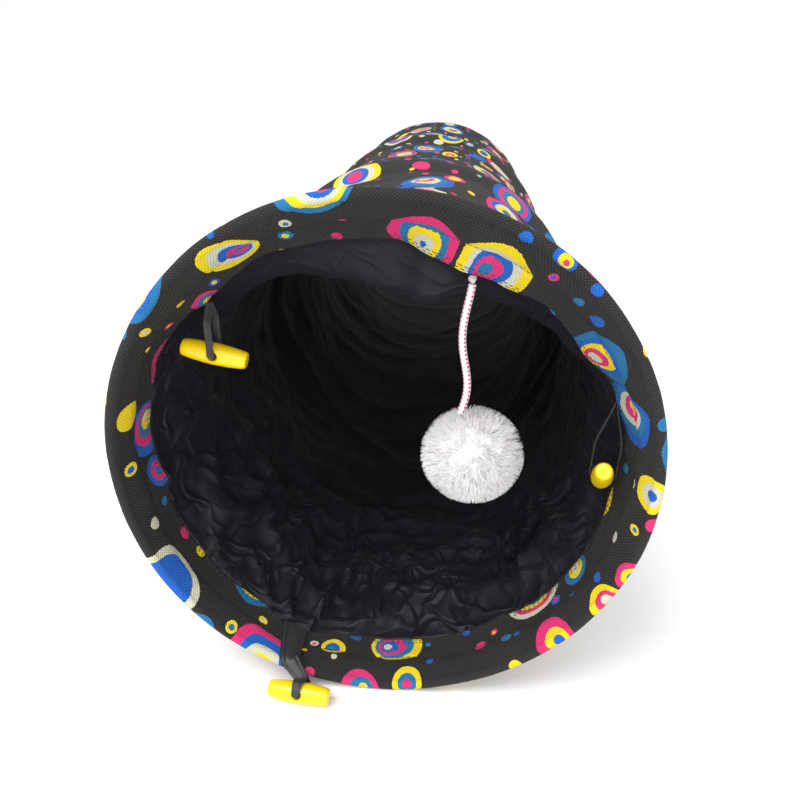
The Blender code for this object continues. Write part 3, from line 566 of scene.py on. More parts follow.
def build_stitches(thread):
    angle = column_angles(720)
    inward = np.stack((-np.cos(angle), 0 * angle, -np.sin(angle)), axis=1)
    for row, place in enumerate(STITCH_ROWS, start=1):
        line = facing_points(angle[None, :], np.array([[place]]))[0]
        settle(stitches(f"facing_stitches_{row}", line, inward, thread), "near_end")


# The lining


def swag_depth(angle):
    """How far the loose lining hangs down behind the facing's edge, at angles."""
    degrees = (np.degrees(angle) + 180) % 360 - 180
    return np.interp(degrees, SWAG[:, 0], SWAG[:, 1])


def root_creases(angle, y):
    """Creases that fan out from where the floor toggle's tape is sewn in."""
    across = turned_from(angle, FLOOR_ROOT_ANGLE) * END_RADIUS
    along = y - TOGGLE_3_ROOT.y + NEAR_Y
    reach = np.hypot(across, along)
    turn = np.arctan2(along, across)
    ring = hoop_points(END_RADIUS, angle, y)
    fan = 1 - np.abs(np.sin(5.5 * turn + 2.2 * noise_at(ring, 0.05, 51)))
    return fan**2.2 * np.exp(-((reach / 0.105) ** 2)) * smooth_between(reach, 0.008, 0.03)


def lining_points(angle, y):
    sleeve_inset = CANVAS + CLEARANCE + CHANNEL_RADIUS + SLEEVE_RADIUS + CLEARANCE
    flat = hoop_points(END_RADIUS, angle, y)
    bent = flat + np.stack([noise_at(flat, 0.11, seed) for seed in (41, 42, 43)], axis=-1) * 0.04
    rise = np.sin(angle)
    low = smooth_between(-rise, -0.25, 0.55)
    big = ridges_at(bent * np.array((0.55, 1.5, 0.55)), 0.105, 44)
    middle = ridges_at(bent * np.array((0.8, 1.3, 0.8)), 0.062, 45)
    fine = ridges_at(bent, 0.024, 46) * low
    near = 1 - smooth_between(y, 0.12, 0.3)
    crumple = 0.56 * big**1.7 + (0.3 + 0.2 * near) * middle**1.8 + (0.1 + 0.3 * near) * fine**1.7
    free = smooth_between(y, BODY_START, BODY_START + 0.035)
    free = free * (1 - smooth_between(y, LINING_END - 0.03, LINING_END))
    calm = 1 - 0.72 * smooth_between(y, 0.16, 0.4)
    inward = LINING_CREASE * crumple * free * calm * (0.45 + 0.55 * low)
    inward = inward + ROOT_CREASE * root_creases(angle, y) * smooth_between(y, BODY_START, BODY_START + 0.01)
    depth = y - BODY_START
    hang = smooth_between(depth, 0, 0.021) * (1 - smooth_between(depth, 0.026, 0.085))
    droop = swag_depth(angle) * hang * (1 + 0.08 * noise_at(flat, 0.04, 47))
    start = 1 - smooth_between(y, BODY_START, BODY_START + LINING_BLEND)
    end = smooth_between(y, LINING_END - LINING_BLEND, LINING_END)
    edge_radius, edge_y = edge_point(angle)
    outward = np.stack(np.broadcast_arrays(np.cos(angle), 0 * angle, rise), axis=-1)
    near_edge = hoop_points((edge_radius - 2 * CLEARANCE) * ROUND_SHARE, angle, edge_y + CLEARANCE)
    far_facing = FACING_START_RADIUS - END_RADIUS + FAR_RADIUS - 3 * CANVAS
    far_edge = hoop_points(far_facing * ROUND_SHARE, angle, LINING_END, FAR_RADIUS * FACET_SHARE)
    offset = -outward * (sleeve_inset + LINING_CLOTH) * np.ones_like(y)[..., None]
    offset = offset + ((near_edge - body_points(angle, BODY_START)) - offset) * start[..., None]
    offset = offset + ((far_edge - body_points(angle, LINING_END)) - offset) * end[..., None]
    points = body_points(angle, y, canvas_drawn_in(angle, y)) + offset
    points = points - outward * (inward + droop)[..., None]
    points[..., 2] = np.maximum(points[..., 2], 0.0015)
    return points


def build_lining(taffeta):
    angle = column_angles(400)[None, :]
    near = np.arange(BODY_START, 0.4, 0.0026)
    y = np.append(near, np.linspace(near[-1] + 0.005, LINING_END, 120))[:, None]
    lining = cloth("lining_taffeta", lining_points(angle, y), y, taffeta, thickness=LINING_CLOTH)
    settle(lining, "near_end", "lining")
    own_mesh(lining)


# Middle hoops' sleeves


def build_sleeve(number, place, canvas):
    """A strip of canvas over the wire of a middle hoop, with a sewn flange on each side."""
    top = BODY_RADIUS - CANVAS - CLEARANCE
    edge = CHANNEL_RADIUS + SLEEVE_FLANGE
    turn = np.linspace(0, pi, 12)
    section = []
    for size, flange in ((CHANNEL_RADIUS, top), (SLEEVE_RADIUS, top - SLEEVE_CLOTH)):
        radius = np.r_[flange, flange, top - CHANNEL_RADIUS - size * np.sin(turn), flange, flange]
        section.append((radius, place + np.r_[-edge, -size, -size * np.cos(turn), size, edge]))
    radius, y = (np.append(outer, inner[::-1])[:, None] for outer, inner in zip(*section))
    points = hoop_points(radius * ROUND_SHARE, column_angles(240)[None, :], y, BODY_RADIUS * FACET_SHARE)
    name = f"middle_hoop_{number}_sleeve"
    sleeve = tube_grid(name + "_canvas", points, canvas, closed=True, uv_scale=(0.9, 0.03))
    settle(sleeve, f"middle_hoop_{number}", name)


# Toggles and tapes


def lathe(name, profile, sides, order, material):
    """A solid of revolution through pairs of place and radius; the order sets its axis."""
    place, radius = np.array(profile).T[..., None]
    turn = full_turn(sides)[None, :]
    parts = np.broadcast_arrays(place, radius * np.cos(turn), radius * np.sin(turn))
    return tube_grid(name, np.stack([parts[k] for k in order], axis=-1), material)


def barrel_mesh(plastic):
    """A smooth barrel along X round the origin with a bevelled cross hole along Y."""
    half = BARREL_LENGTH / 2
    profile = []
    for turn in np.linspace(0, pi / 2, 7):
        radius = BARREL_END_RADIUS - BARREL_EDGE * (1 - sin(turn))
        profile.append((half - BARREL_EDGE * (1 - cos(turn)), radius))
    for share in np.linspace(0.9, 0.06, 14):
        radius = BARREL_END_RADIUS + (BARREL_RADIUS - BARREL_END_RADIUS) * (1 - share * share)
        profile.append((half * share, radius))
    for place, rise in ((0.0007, 0.0), (0.0004, 0.5), (0, 1.0)):
        profile.append((place, BARREL_RADIUS + RIDGE * rise))
    hole = [(-0.012, HOLE_RADIUS + 0.0055), (-BARREL_RADIUS + 0.0003, HOLE_RADIUS + 0.0006)]
    hole.append((-BARREL_RADIUS + 0.001, HOLE_RADIUS))
    profile += [(-place, radius) for place, radius in profile[-2::-1]]
    hole += [(-place, radius) for place, radius in hole[::-1]]
    blank = lathe("barrel_blank", profile, 64, (0, 1, 2), plastic)
    cutter = lathe("cross_hole_cutter", hole, 32, (1, 0, 2), plastic)
    cut = blank.modifiers.new("cross_hole", "BOOLEAN")
    cut.operation = "DIFFERENCE"
    cut.solver = "EXACT"
    cut.object = cutter
    depsgraph = bpy.context.evaluated_depsgraph_get()
    mesh = bpy.data.meshes.new_from_object(blank.evaluated_get(depsgraph))
    mesh.name = "barrel"
    bpy.data.objects.remove(blank, do_unlink=True)
    bpy.data.objects.remove(cutter, do_unlink=True)
    mesh.materials.clear()
    mesh.materials.append(plastic)
    mesh.shade_smooth()
    mesh.set_sharp_from_angle(angle=radians(38))
    return mesh


def place_barrel(number, mesh, centre, along, across, tip):
    item = linked(f"toggle_{number}_barrel", mesh.copy())
    frame = Matrix((along, across, along.cross(across))).transposed().to_4x4()
    item.matrix_world = Matrix.Translation(centre) @ frame @ Matrix.Rotation(radians(tip), 4, "Y")
    settle(item, f"toggle_{number}", f"toggle_{number}")


def place_tape(number, path, across, widths, material):
    """A closed flat tape: a rounded section with a faint lengthwise fold, swept along a smooth path."""
    dense = spaced(path, TAPE_STEPS, closed=True)
    across = spaced(across, TAPE_STEPS, closed=True)
    ribs = spaced([(width, 0, 0) for width in widths], TAPE_STEPS, closed=True)[:, :1]
    tangents = tangents_along(dense, True)
    across = unit(across - tangents * np.sum(across * tangents, axis=1, keepdims=True))
    lift = np.cross(tangents, across)
    turn = full_turn(40)
    side = (np.sign(np.cos(turn)) * np.abs(np.cos(turn)) ** 0.55)[None, :]
    rise = (np.sign(np.sin(turn)) * np.abs(np.sin(turn)) ** 0.8)[None, :]
    height = TAPE_THICKNESS / 2 * (0.74 * rise - 0.22 * np.cos(side * pi))
    wander = 0.00012 * np.sin(np.arange(TAPE_STEPS) * 0.55)[:, None]
    spread = np.clip((ribs - TAPE_WIDTH) / TAPE_ROOT_WIDTH, 0, 1)
    pleats = PLEAT * spread * np.sin(3 * pi * side + 0.6)
    rings = dense[:, None] + across[:, None] * (side * ribs / 2)[..., None]
    rings = rings + lift[:, None] * (height + wander * side + pleats)[..., None]
    name = f"toggle_tape_{number}"
    item = tube_grid(name + "_ribbon", rings, material, closed=True, uv_scale=(0.009, 0.09))
    settle(item, name, name)


def hanging_path(root, centre, across, up):
    reach = (root - centre).length
    bend = TAPE_THICKNESS * 1.2
    straight = min(BARREL_LENGTH / 2 + CLEARANCE, reach * 0.66)
    pinch = TAPE_THICKNESS / 2 + CLEARANCE
    side = [
        (LEG_OFFSET - bend * 2.6, 0),
        (LEG_OFFSET - bend, 0.0001),
        (LEG_OFFSET - bend * 0.3, bend * 0.3),
        (LEG_OFFSET, bend),
        (LEG_OFFSET, straight * 0.5),
        (LEG_OFFSET, straight),
        (LEG_OFFSET * 0.7, straight + (reach - straight) * 0.35),
        (pinch * 1.6, straight + (reach - straight) * 0.85),
        (pinch, reach),
    ]
    points = [(-out, high) for out, high in reversed(side)] + side
    return [centre + across * out + up * high for out, high in points]


def build_hanging_toggle(number, mesh, root, centre, yaw, tip, tape):
    up = (root - centre).normalized()
    level = Vector((cos(radians(yaw)), sin(radians(yaw)), 0))
    along = (level - up * level.dot(up)).normalized()
    across = up.cross(along)
    path = hanging_path(root - up * (CLEARANCE + TAPE_THICKNESS / 2), centre, across, up)
    place_tape(number, path, [along] * len(path), [TAPE_WIDTH] * len(path), tape)
    place_barrel(number, mesh, centre, along, across, tip)


def floor_tape_path(along, level, across):
    """The closed path of the tape over the mouth's lip to the floor, with its width's direction."""
    angle = FLOOR_ROOT_ANGLE
    middle = (angle - FACET / 2) // FACET * FACET + FACET
    sideways = Vector((-sin(middle), 0, cos(middle)))
    inward = Vector((-cos(middle), 0, -sin(middle)))
    layer = TAPE_THICKNESS + CLEARANCE
    slack = 0.0013
    radius = (END_RADIUS - HEM_RADIUS) * FACET_SHARE / cos(angle - middle)
    hem = Vector((radius * cos(angle), NEAR_Y + HEM_RADIUS, AXIS_HEIGHT + radius * sin(angle)))
    nose = HEM_RADIUS + CLEARANCE + TAPE_THICKNESS / 2
    shift = Vector((0.0098, 0, 0))
    centre = TOGGLE_3_CENTRE

    def at_barrel(degrees, offset):
        turn = radians(degrees)
        return centre - level * offset * cos(turn) + Vector((0, 0, offset * sin(turn))), along

    def at_nose(degrees, radius, drift, way):
        turn = radians(degrees)
        outward = Vector((0, -radius * sin(turn), 0))
        return hem + inward * radius * cos(turn) + outward + shift * drift, way

    hole = 180 - FLOOR_RISE
    bend = TAPE_THICKNESS * 0.9
    return [
        (centre + across * (LEG_OFFSET - bend), along),
        at_barrel(hole, LEG_OFFSET),
        at_barrel(hole - 30, LEG_OFFSET + slack * 0.6),
        at_barrel(hole - 60, LEG_OFFSET + slack),
        at_barrel(hole - 90, LEG_OFFSET + slack),
        at_nose(50, nose + 2 * layer, 0.45, along + sideways),
        at_nose(0, nose + 1.7 * layer, 0.2, sideways),
        (TOGGLE_3_ROOT + inward * layer, sideways),
        (TOGGLE_3_ROOT, sideways),
        at_nose(0, nose + 0.5 * layer, 0.2, sideways),
        at_nose(50, nose + 0.5 * layer, 0.45, along + sideways),
        at_barrel(14, LEG_OFFSET + slack),
        at_barrel(-6, LEG_OFFSET + slack * 0.6),
        at_barrel(hole - 180, LEG_OFFSET),
        (centre - across * (LEG_OFFSET - bend), along),
    ]


def build_floor_toggle(mesh, tape):
    yaw = radians(FLOOR_YAW)
    rise = radians(FLOOR_RISE)
    along = Vector((cos(yaw), sin(yaw), 0))
    level = Vector((sin(yaw), -cos(yaw), 0))
    across = level * cos(rise) + Vector((0, 0, sin(rise)))
    path, ways = zip(*floor_tape_path(along, level, across))
    widths = []
    for point in path:
        back = float(smooth_between(point.y, TOGGLE_3_CENTRE.y + BARREL_RADIUS, NEAR_Y + 8 * HEM_RADIUS))
        widths.append(TAPE_WIDTH + (TAPE_ROOT_WIDTH - TAPE_WIDTH) * back)
    place_tape(3, path, ways, widths, tape)
    place_barrel(3, mesh, TOGGLE_3_CENTRE, along, across, 0)


# String, knot and pompom


def string_path(count):
    share = np.linspace(0, 1, count)
    x = KNOT.x - (STRING_LEAN * share + STRING_WAVE * np.sin(tau * share**1.3))
    top = KNOT.z - KNOT_RADIUS - CLEARANCE
    return np.stack((x, np.full(count, KNOT.y), top - STRING_DROP * share), axis=1)


def braid(along, turn):
    pitch = 62 * pi
    return 1 + 0.05 * np.sin(along * pitch + turn * 3) * np.sin(along * pitch - turn * 3)


def build_string(elastic):
    path = string_path(300)
    name = "pompom_string_braid"
    item = round_tube(name, path, STRING_RADIUS, elastic, 24, relief=braid, uv_length=STRING_DROP)
    settle(item, "pompom", "pompom_string")
    turn = full_turn(120)
    x = (np.sin(turn) + 2 * np.sin(2 * turn)) * 0.00042
    y = np.sin(3 * turn) * 0.0005
    z = (np.cos(turn) - 2 * np.cos(2 * turn)) * 0.00042
    loop = np.stack((x, y, z), axis=1) + np.array(KNOT)
    knot = round_tube("string_knot_loop", loop, 0.0011, elastic, 14, closed=True)
    settle(knot, "string_top", "string_knot")


def build_pompom(plush):
    """A ball of leaning strands, each a three-sided taper, over a lumpy core."""
    random = np.random.default_rng(12)
    k = np.arange(STRANDS) + 0.5
    height = 1 - 2 * k / STRANDS
    turn = pi * (1 + sqrt(5)) * k
    level = np.sqrt(1 - height**2)
    directions = np.stack((level * np.cos(turn), level * np.sin(turn), height), axis=1)
    directions = unit(directions + random.normal(0, 0.035, directions.shape))
    clumps = np.stack([noise_at(directions * 0.02, 0.0055, seed) for seed in (61, 62, 63)], axis=1)
    lean = clumps * 0.5 + random.normal(0, 0.2, directions.shape)
    lean[:, 2] -= 0.10
    length = 0.0105 * (1 + 0.16 * random.normal(0, 1, STRANDS).clip(-2, 1.6)) * (1 + 0.3 * clumps[:, 0])
    core = POMPOM_RADIUS - 0.0102
    helper = unit(np.cross(directions, (0.3, 0.5, 0.81)))
    other = np.cross(directions, helper)
    points = []
    for share, width in ((0.0, 1.0), (0.4, 0.95), (0.75, 0.65), (0.97, 0.2)):
        centre = directions * core
        centre = centre + directions * (length * share)[:, None] + lean * (length * share**1.8)[:, None]
        reach = np.linalg.norm(centre, axis=1)
        centre *= (np.minimum(reach, POMPOM_RADIUS + 0.0012) / reach)[:, None]
        for a in (0, tau / 3, 2 * tau / 3):
            points.append(centre + (helper * cos(a) + other * sin(a)) * 0.00026 * width)
    pattern = []
    for first in (0, 3, 6):
        for s in range(3):
            n = (s + 1) % 3
            pattern.append((first + s, first + n, first + 3 + n))
            pattern.append((first + s, first + 3 + n, first + 3 + s))
    pattern += [(0, 2, 1), (9, 10, 11)]
    work = bmesh.new()
    bmesh.ops.create_icosphere(work, subdivisions=4, radius=1)
    work.verts.index_update()
    ball = np.array([tuple(vert.co) for vert in work.verts])
    ball_faces = np.array([[vert.index for vert in face.verts] for face in work.faces])
    work.free()
    ball = ball * (core + 0.0045 + 0.0012 * noise_at(ball * 0.02, 0.006, 64))[:, None]
    points = np.concatenate((np.stack(points, axis=1).reshape(-1, 3), ball))
    centre = np.array(POMPOM_CENTRE) + np.array(POMPOM_SHIFT)
    points = points * np.array((1.0, 1.0, POMPOM_SQUASH)) + centre
    faces = np.concatenate((copied_faces(pattern, STRANDS, 12), ball_faces + STRANDS * 12))
    item = mesh_object("pompom_plush", points, faces, plush)
    settle(item, "pompom", "pompom")


def build_catch_loops(elastic):
    for number, degrees in enumerate(LOOP_ANGLES, start=1):
        angle = radians(degrees)
        from_middle = (angle + FACET / 2) % FACET - FACET / 2
        reach = (FAR_RADIUS - 2 * HEM_RADIUS) * FACET_SHARE / cos(from_middle) - CLEARANCE - LOOP_CORD / 2
        outward = np.array((cos(angle), 0, sin(angle)))
        sideways = np.array((-sin(angle), 0, cos(angle)))
        height = FAR_RADIUS * FACET_SHARE + reach * sin(angle)
        start = np.array((reach * cos(angle), FAR_Y - HEM_RADIUS, height))
        narrow = LOOP_CORD / 2 + CLEARANCE
        points = []
        for k in range(24):
            turn = tau * (k + 0.5) / 24
            share = (1 - cos(turn)) / 2
            swell = narrow + (LOOP_HALF_WIDTH - narrow) * sin(pi * share**0.8) ** 0.7
            side = max(swell, narrow) * (1 if sin(turn) > 0 else -1)
            points.append(start - outward * (LOOP_LENGTH - LOOP_CORD) * share + sideways * side)
        path = spaced(points, 160, closed=True)
        name = f"catch_loop_{number}"
        item = round_tube(name + "_elastic", path, LOOP_CORD / 2, elastic, 16, True, braid, 0.05)
        settle(item, "far_end", name)


# Materials


class Shader:
    """A material's nodes: numbers go straight on the sockets, links only where something varies."""

    def __init__(self, name):
        self.material = bpy.data.materials.new(name)
        self.material.use_nodes = True
        self.tree = self.material.node_tree
        self.surface = self.tree.nodes["Principled BSDF"]

    def put(self, socket, value):
        if isinstance(value, bpy.types.NodeSocket):
            self.tree.links.new(value, socket)
        elif isinstance(value, tuple) and len(value) == 3 and socket.type == "RGBA":
            socket.default_value = (*value, 1.0)
        else:
            socket.default_value = value

    def node(self, kind, *values, settings=(), **inputs):
        """A new node with its settings, its first inputs in order and others by name."""
        made = self.tree.nodes.new("ShaderNode" + kind)
        for name, value in dict(settings).items():
            setattr(made, name, value)
        for socket, value in zip(made.inputs, values):
            self.put(socket, value)
        for name, value in inputs.items():
            self.put(made.inputs[name], value)
        return made

    def math(self, operation, *values):
        return self.node("Math", *values, settings={"operation": operation}).outputs[0]

    def times(self, first, second):
        return self.math("MULTIPLY", first, second)

    def line(self, value, factor, offset):
        return self.math("MULTIPLY_ADD", value, factor, offset)

    def sine(self, value, period):
        return self.math("SINE", self.times(value, tau / period))

    def ramp(self, value, factor, offset):
        """A straight line that stops at 0 and 1."""
        return self.math("MAXIMUM", self.math("MINIMUM", self.line(value, factor, offset), 1.0), 0.0)

    def from_half(self, value):
        return self.math("ABSOLUTE", self.math("SUBTRACT", value, 0.5))

    def vector(self, operation, *values, **inputs):
        made = self.node("VectorMath", *values, settings={"operation": operation}, **inputs)
        return made.outputs["Value" if operation == "DISTANCE" else "Vector"]

    def mix(self, factor, first, second):
        made = self.node("Mix", settings={"data_type": "RGBA"}, Factor=factor)
        self.put(made.inputs[6], first)
        self.put(made.inputs[7], second)
        return made.outputs[2]

    def ink(self, tone):
        """The print's colours in equal steps of a tone from 0 to 1."""
        made = self.node("ValToRGB", tone)
        ramp = made.color_ramp
        ramp.interpolation = "CONSTANT"
        while len(ramp.elements) < len(INK_COLOURS):
            ramp.elements.new(0.5)
        for k, colour in enumerate(INK_COLOURS):
            ramp.elements[k].position = k / len(INK_COLOURS)
            ramp.elements[k].color = (*colour, 1.0)
        return made.outputs["Color"]

    def noise(self, vector, scale, detail=2.0, roughness=0.5, output="Fac"):
        made = self.node("TexNoise", Vector=vector, Scale=scale, Detail=detail, Roughness=roughness)
        return made.outputs[output]

    def uv(self):
        """The cloth's map, its way across and its way along."""
        uv = self.node("UVMap", settings={"uv_map": "cloth"}).outputs["UV"]
        return uv, *self.node("SeparateXYZ", uv).outputs[:2]

    def object_place(self):
        return self.node("TexCoord").outputs["Object"]

    def bump(self, height, distance, strength, **inputs):
        made = self.node("Bump", Height=height, Distance=distance, Strength=strength, **inputs)
        return made.outputs["Normal"]

    def finish(self, **values):
        for name, value in values.items():
            self.put(self.surface.inputs[name.replace("_", " ")], value)
        return self.material


INK_COLOURS = (
    (0.0065, 0.125, 0.560),
    (0.960, 0.730, 0.004),
    (0.790, 0.026, 0.185),
    (0.70, 0.70, 0.52),
    (0.0100, 0.185, 0.420),
)


@dataclass
class DotLayer:
    """Irregular dots of rings, one in each cell of a random division of the cloth."""

    shader: Shader
    cell: float
    shift: tuple
    radii: tuple
    rings: tuple
    randomness: float
    plain: float

    def cells(self, uv):
        s = self.shader
        place = s.vector("MULTIPLY_ADD", uv, (1 / self.cell, 1 / self.cell, 0.0), self.shift)
        near, room = (
            s.node(
                "TexVoronoi", Vector=place, Scale=1.0, Randomness=self.randomness,
                settings={"voronoi_dimensions": "2D", "feature": feature},
            ).outputs
            for feature in ("F1", "N_SPHERE_RADIUS")
        )
        split = s.node("SeparateColor", near["Color"]).outputs
        low, high = self.radii
        limit = s.times(room["Radius"], self.cell * 0.97)
        return place, near, split, s.math("MINIMUM", s.line(split["Red"], high - low, low), limit)

    def clearance(self, centre):
        """How far a point of the map lies outside this layer's nearest dot."""
        _, near, _, radius = self.cells(centre)
        return self.shader.math("SUBTRACT", self.shader.times(near["Distance"], self.cell), radius)

    def paint(self, uv, wobble, below, larger=()):
        """This layer's dots on the colour below, left out where they would cross a larger layer's."""
        s = self.shader
        place, near, split, radius = self.cells(uv)
        size = (self.cell, self.cell, 0.0)
        offset = s.vector("MULTIPLY", s.vector("SUBTRACT", place, near["Position"]), size)
        centre = s.vector("MULTIPLY", s.vector("SUBTRACT", near["Position"], self.shift), size)
        keep = 1.0
        for layer in larger:
            clear = s.math("GREATER_THAN", layer.clearance(centre), s.times(radius, 0.92))
            keep = s.times(clear, keep)
        step = s.line(s.math("FLOOR", s.times(split["Blue"], 3.999)), 0.2, 0.2)
        corner = s.node("CombineXYZ", split["Red"], split["Blue"]).outputs[0]
        lean = s.vector("SUBTRACT", corner, (0.5, 0.5, 0.0))
        rim = s.times(wobble, radius)
        shade = s.times(split["Green"], 7.3)
        for number, share in enumerate(self.rings):
            drift = s.vector("SCALE", lean, Scale=s.times(radius, 0.2 * number))
            away = s.vector("DISTANCE", offset, drift)
            inside = s.times(s.math("LESS_THAN", away, s.line(radius, share, rim)), keep)
            if number:
                scarce = self.plain * number / (len(self.rings) - 1)
                inside = s.times(inside, s.math("GREATER_THAN", split["Green"], scarce))
            below = s.mix(inside, below, s.ink(s.math("FRACT", s.line(step, float(number), shade))))
        return below


def canvas_material():
    s = Shader("printed canvas")
    uv, across, along = s.uv()
    large = DotLayer(s, 0.069, (3.3, 7.1, 0.0), (0.017, 0.0275), (1.0, 0.76, 0.55, 0.36, 0.17), 0.8, 0.2)
    medium = DotLayer(s, 0.042, (5.7, 2.4, 0.0), (0.0065, 0.0125), (1.0, 0.62, 0.28), 0.85, 0.3)
    small = DotLayer(s, 0.021, (1.9, 4.2, 0.0), (0.0019, 0.0044), (1.0, 0.5), 0.85, 0.62)
    warp = s.math("SUBTRACT", s.noise(uv, 34.0, 1.0), 0.5)
    jagged = s.math("SUBTRACT", s.noise(uv, 900.0, 1.0), 0.5)
    wobble = s.line(jagged, 0.06, s.times(warp, 0.5))
    weave = s.times(s.sine(across, 0.0021), s.sine(along, 0.0019))
    fibres = s.noise(uv, 2600.0, 3.0, 0.7)
    ground = s.mix(s.noise(uv, 30.0, 3.0, 0.6), (0.0135, 0.0125, 0.0120), (0.0225, 0.0210, 0.0200))
    colour = small.paint(uv, wobble, ground, (large, medium))
    colour = medium.paint(uv, wobble, colour, (large,))
    colour = large.paint(uv, wobble, colour)
    crests = s.math("POWER", s.line(weave, 0.5, 0.5), 3.0)
    # Painted highlight: the weave's crests are lightened towards pale grey, broken up by fibre noise, as if
    # they catch the light.
    crest_highlight = s.times(crests, s.line(fibres, 1.0, -0.25))
    colour = s.mix(s.times(crest_highlight, 0.42), colour, (0.40, 0.385, 0.35))
    # Partly painted shade: the weave's troughs are darkened for the shade in the gaps between threads, and
    # partly for thinner ink there, which lets the dark ground show.
    trough_shade_and_thin_ink = s.math("SUBTRACT", 1.0, crests)
    colour = s.mix(s.times(trough_shade_and_thin_ink, 0.22), colour, (0.008, 0.0075, 0.007))
    return s.finish(
        Base_Color=colour, Roughness=s.line(fibres, 0.2, 0.72), Specular_IOR_Level=0.2, Sheen_Weight=0.03,
        Normal=s.bump(s.line(fibres, 0.35, weave), 0.00032, 0.8),
    )


def taffeta_material():
    s = Shader("dark taffeta")
    place = s.object_place()
    _, depth, rise = s.node("SeparateXYZ", place).outputs
    patches = s.noise(place, 14.0, 4.0, 0.6)
    near = s.ramp(depth, -5.0, -1.0)
    below = s.ramp(rise, -9.0, 2.5)
    drift = s.vector("MULTIPLY_ADD", s.noise(place, 16.0, output="Color"), (0.07, 0.07, 0.07), place)
    folds = []
    for stretch in ((1.0, 0.35, 1.0), (0.45, 1.0, 0.8)):
        fold = s.from_half(s.noise(s.vector("MULTIPLY", drift, stretch), 42.0, 1.0, 0.4))
        folds.append(s.math("MAXIMUM", s.line(fold, -13.0, 1.0), 0.0))
    creases = s.times(s.times(s.math("MAXIMUM", *folds), below), near)
    normal = s.bump(s.noise(place, 28.0, 3.0, 0.5), 0.006, 0.25)
    normal = s.bump(creases, 0.0026, 0.75, Normal=normal)
    threads = s.math("SINE", s.times(s.uv()[2], 9000.0))
    return s.finish(
        Base_Color=s.mix(patches, (0.0090, 0.0080, 0.0122), (0.0170, 0.0155, 0.0210)),
        Roughness=s.line(near, -0.44, s.line(patches, 0.15, 0.82)),
        Normal=s.bump(threads, 0.00003, 0.4, Normal=normal),
        Specular_IOR_Level=0.2, Sheen_Weight=0.02, Sheen_Roughness=0.4,
    )


def metal_material(name, colour, roughness):
    s = Shader(name)
    place = s.object_place()
    streaks = s.noise(place, 900.0, 3.0, 0.6)
    stains = s.noise(place, 60.0, 3.0, 0.6)
    tint = s.mix(stains, tuple(value * 0.8 for value in colour), colour)
    normal = s.bump(streaks, 0.00004, 0.5)
    return s.finish(Base_Color=tint, Metallic=1.0, Roughness=s.line(streaks, 0.2, roughness), Normal=normal)


def plastic_material():
    s = Shader("yellow plastic")
    place = s.object_place()
    colour = s.mix(s.noise(place, 160.0, 3.0, 0.55), (0.90, 0.60, 0.002), (0.95, 0.69, 0.004))
    scuffs = s.noise(place, 420.0, 4.0, 0.7)
    normal = s.bump(s.noise(place, 1400.0, 2.0, 0.6), 0.00002, 0.6)
    return s.finish(
        Base_Color=colour, Roughness=s.line(scuffs, 0.18, 0.2), Normal=normal, Subsurface_Weight=0.05,
        Subsurface_Radius=(0.9, 0.5, 0.1), Subsurface_Scale=0.002, Coat_Weight=0.15,
    )


def tape_material():
    s = Shader("black tape")
    _, across, along = s.uv()
    weave = s.line(s.sine(across, 0.0004), 0.5, s.sine(along, 0.0006))
    cloud = s.noise(s.object_place(), 220.0, 3.0, 0.6)
    return s.finish(
        Base_Color=s.mix(cloud, (0.013, 0.013, 0.0145), (0.032, 0.031, 0.034)), Roughness=0.46,
        Normal=s.bump(weave, 0.00006, 0.6), Sheen_Weight=0.12, Sheen_Roughness=0.4,
    )


def thread_material():
    s = Shader("black thread")
    twist = s.noise(s.object_place(), 2400.0, 2.0, 0.6)
    colour = s.mix(twist, (0.012, 0.012, 0.012), (0.035, 0.034, 0.034))
    return s.finish(Base_Color=colour, Roughness=0.7, Normal=s.bump(twist, 0.00005, 0.6))


def elastic_material(name, dark):
    s = Shader(name)
    _, across, along = s.uv()
    turns = s.times(across, tau * 6)
    run = s.times(along, tau / 0.0016)
    plait = s.times(*(s.math("SINE", s.math(way, turns, run)) for way in ("ADD", "SUBTRACT")))
    fuzz = s.noise(s.object_place(), 2200.0, 3.0, 0.7)
    if dark:
        colour = s.mix(fuzz, (0.012, 0.012, 0.013), (0.04, 0.04, 0.042))
    else:
        pale = s.mix(fuzz, (0.62, 0.56, 0.62), (0.86, 0.82, 0.86))
        pitch = s.math("FRACT", s.times(along, 1 / 0.0023))
        dash = s.math("LESS_THAN", s.from_half(pitch), 0.24)
        lane = s.math("FRACT", s.times(across, 3.0))
        slant = s.math("FRACT", s.line(pitch, 0.25, lane))
        row = s.math("LESS_THAN", s.from_half(slant), 0.2)
        colour = s.mix(s.times(dash, row), pale, (0.55, 0.03, 0.13))
    normal = s.bump(s.line(fuzz, 0.5, plait), 0.00012, 0.7)
    return s.finish(Base_Color=colour, Roughness=0.75, Normal=normal, Sheen_Weight=0.3)


def plush_material():
    s = Shader("pale plush")
    place = s.object_place()
    pale = s.mix(s.noise(place, 38.0, 3.0, 0.6), (0.95, 0.90, 0.95), (0.98, 0.97, 0.98))
    strands = s.noise(place, 900.0, 2.0, 0.6)
    return s.finish(
        Base_Color=s.mix(strands, pale, (0.98, 0.97, 0.98)), Roughness=0.8, Sheen_Weight=0.5,
        Normal=s.bump(strands, 0.0001, 0.3), Subsurface_Weight=0.35, Subsurface_Radius=(1.0, 0.9, 0.95),
        Subsurface_Scale=0.004,
    )


def floor_material():
    s = Shader("pale floor")
    cloud = s.noise(s.object_place(), 3.0, 3.0, 0.5)
    return s.finish(Base_Color=s.mix(cloud, (0.95, 0.95, 0.95), (0.97, 0.97, 0.97)), Roughness=0.8)


# Camera and light


def set_camera():
    data = bpy.data.cameras.new("camera")
    data.sensor_width = 36
    data.lens = 33.115
    data.clip_start = 0.01
    camera = linked("camera", data)
    camera.location = (0.0384, NEAR_Y - 0.3413, 0.3427)
    camera.rotation_euler = (radians(90 - 23.39), 0, radians(4.53))
    bpy.context.scene.camera = camera


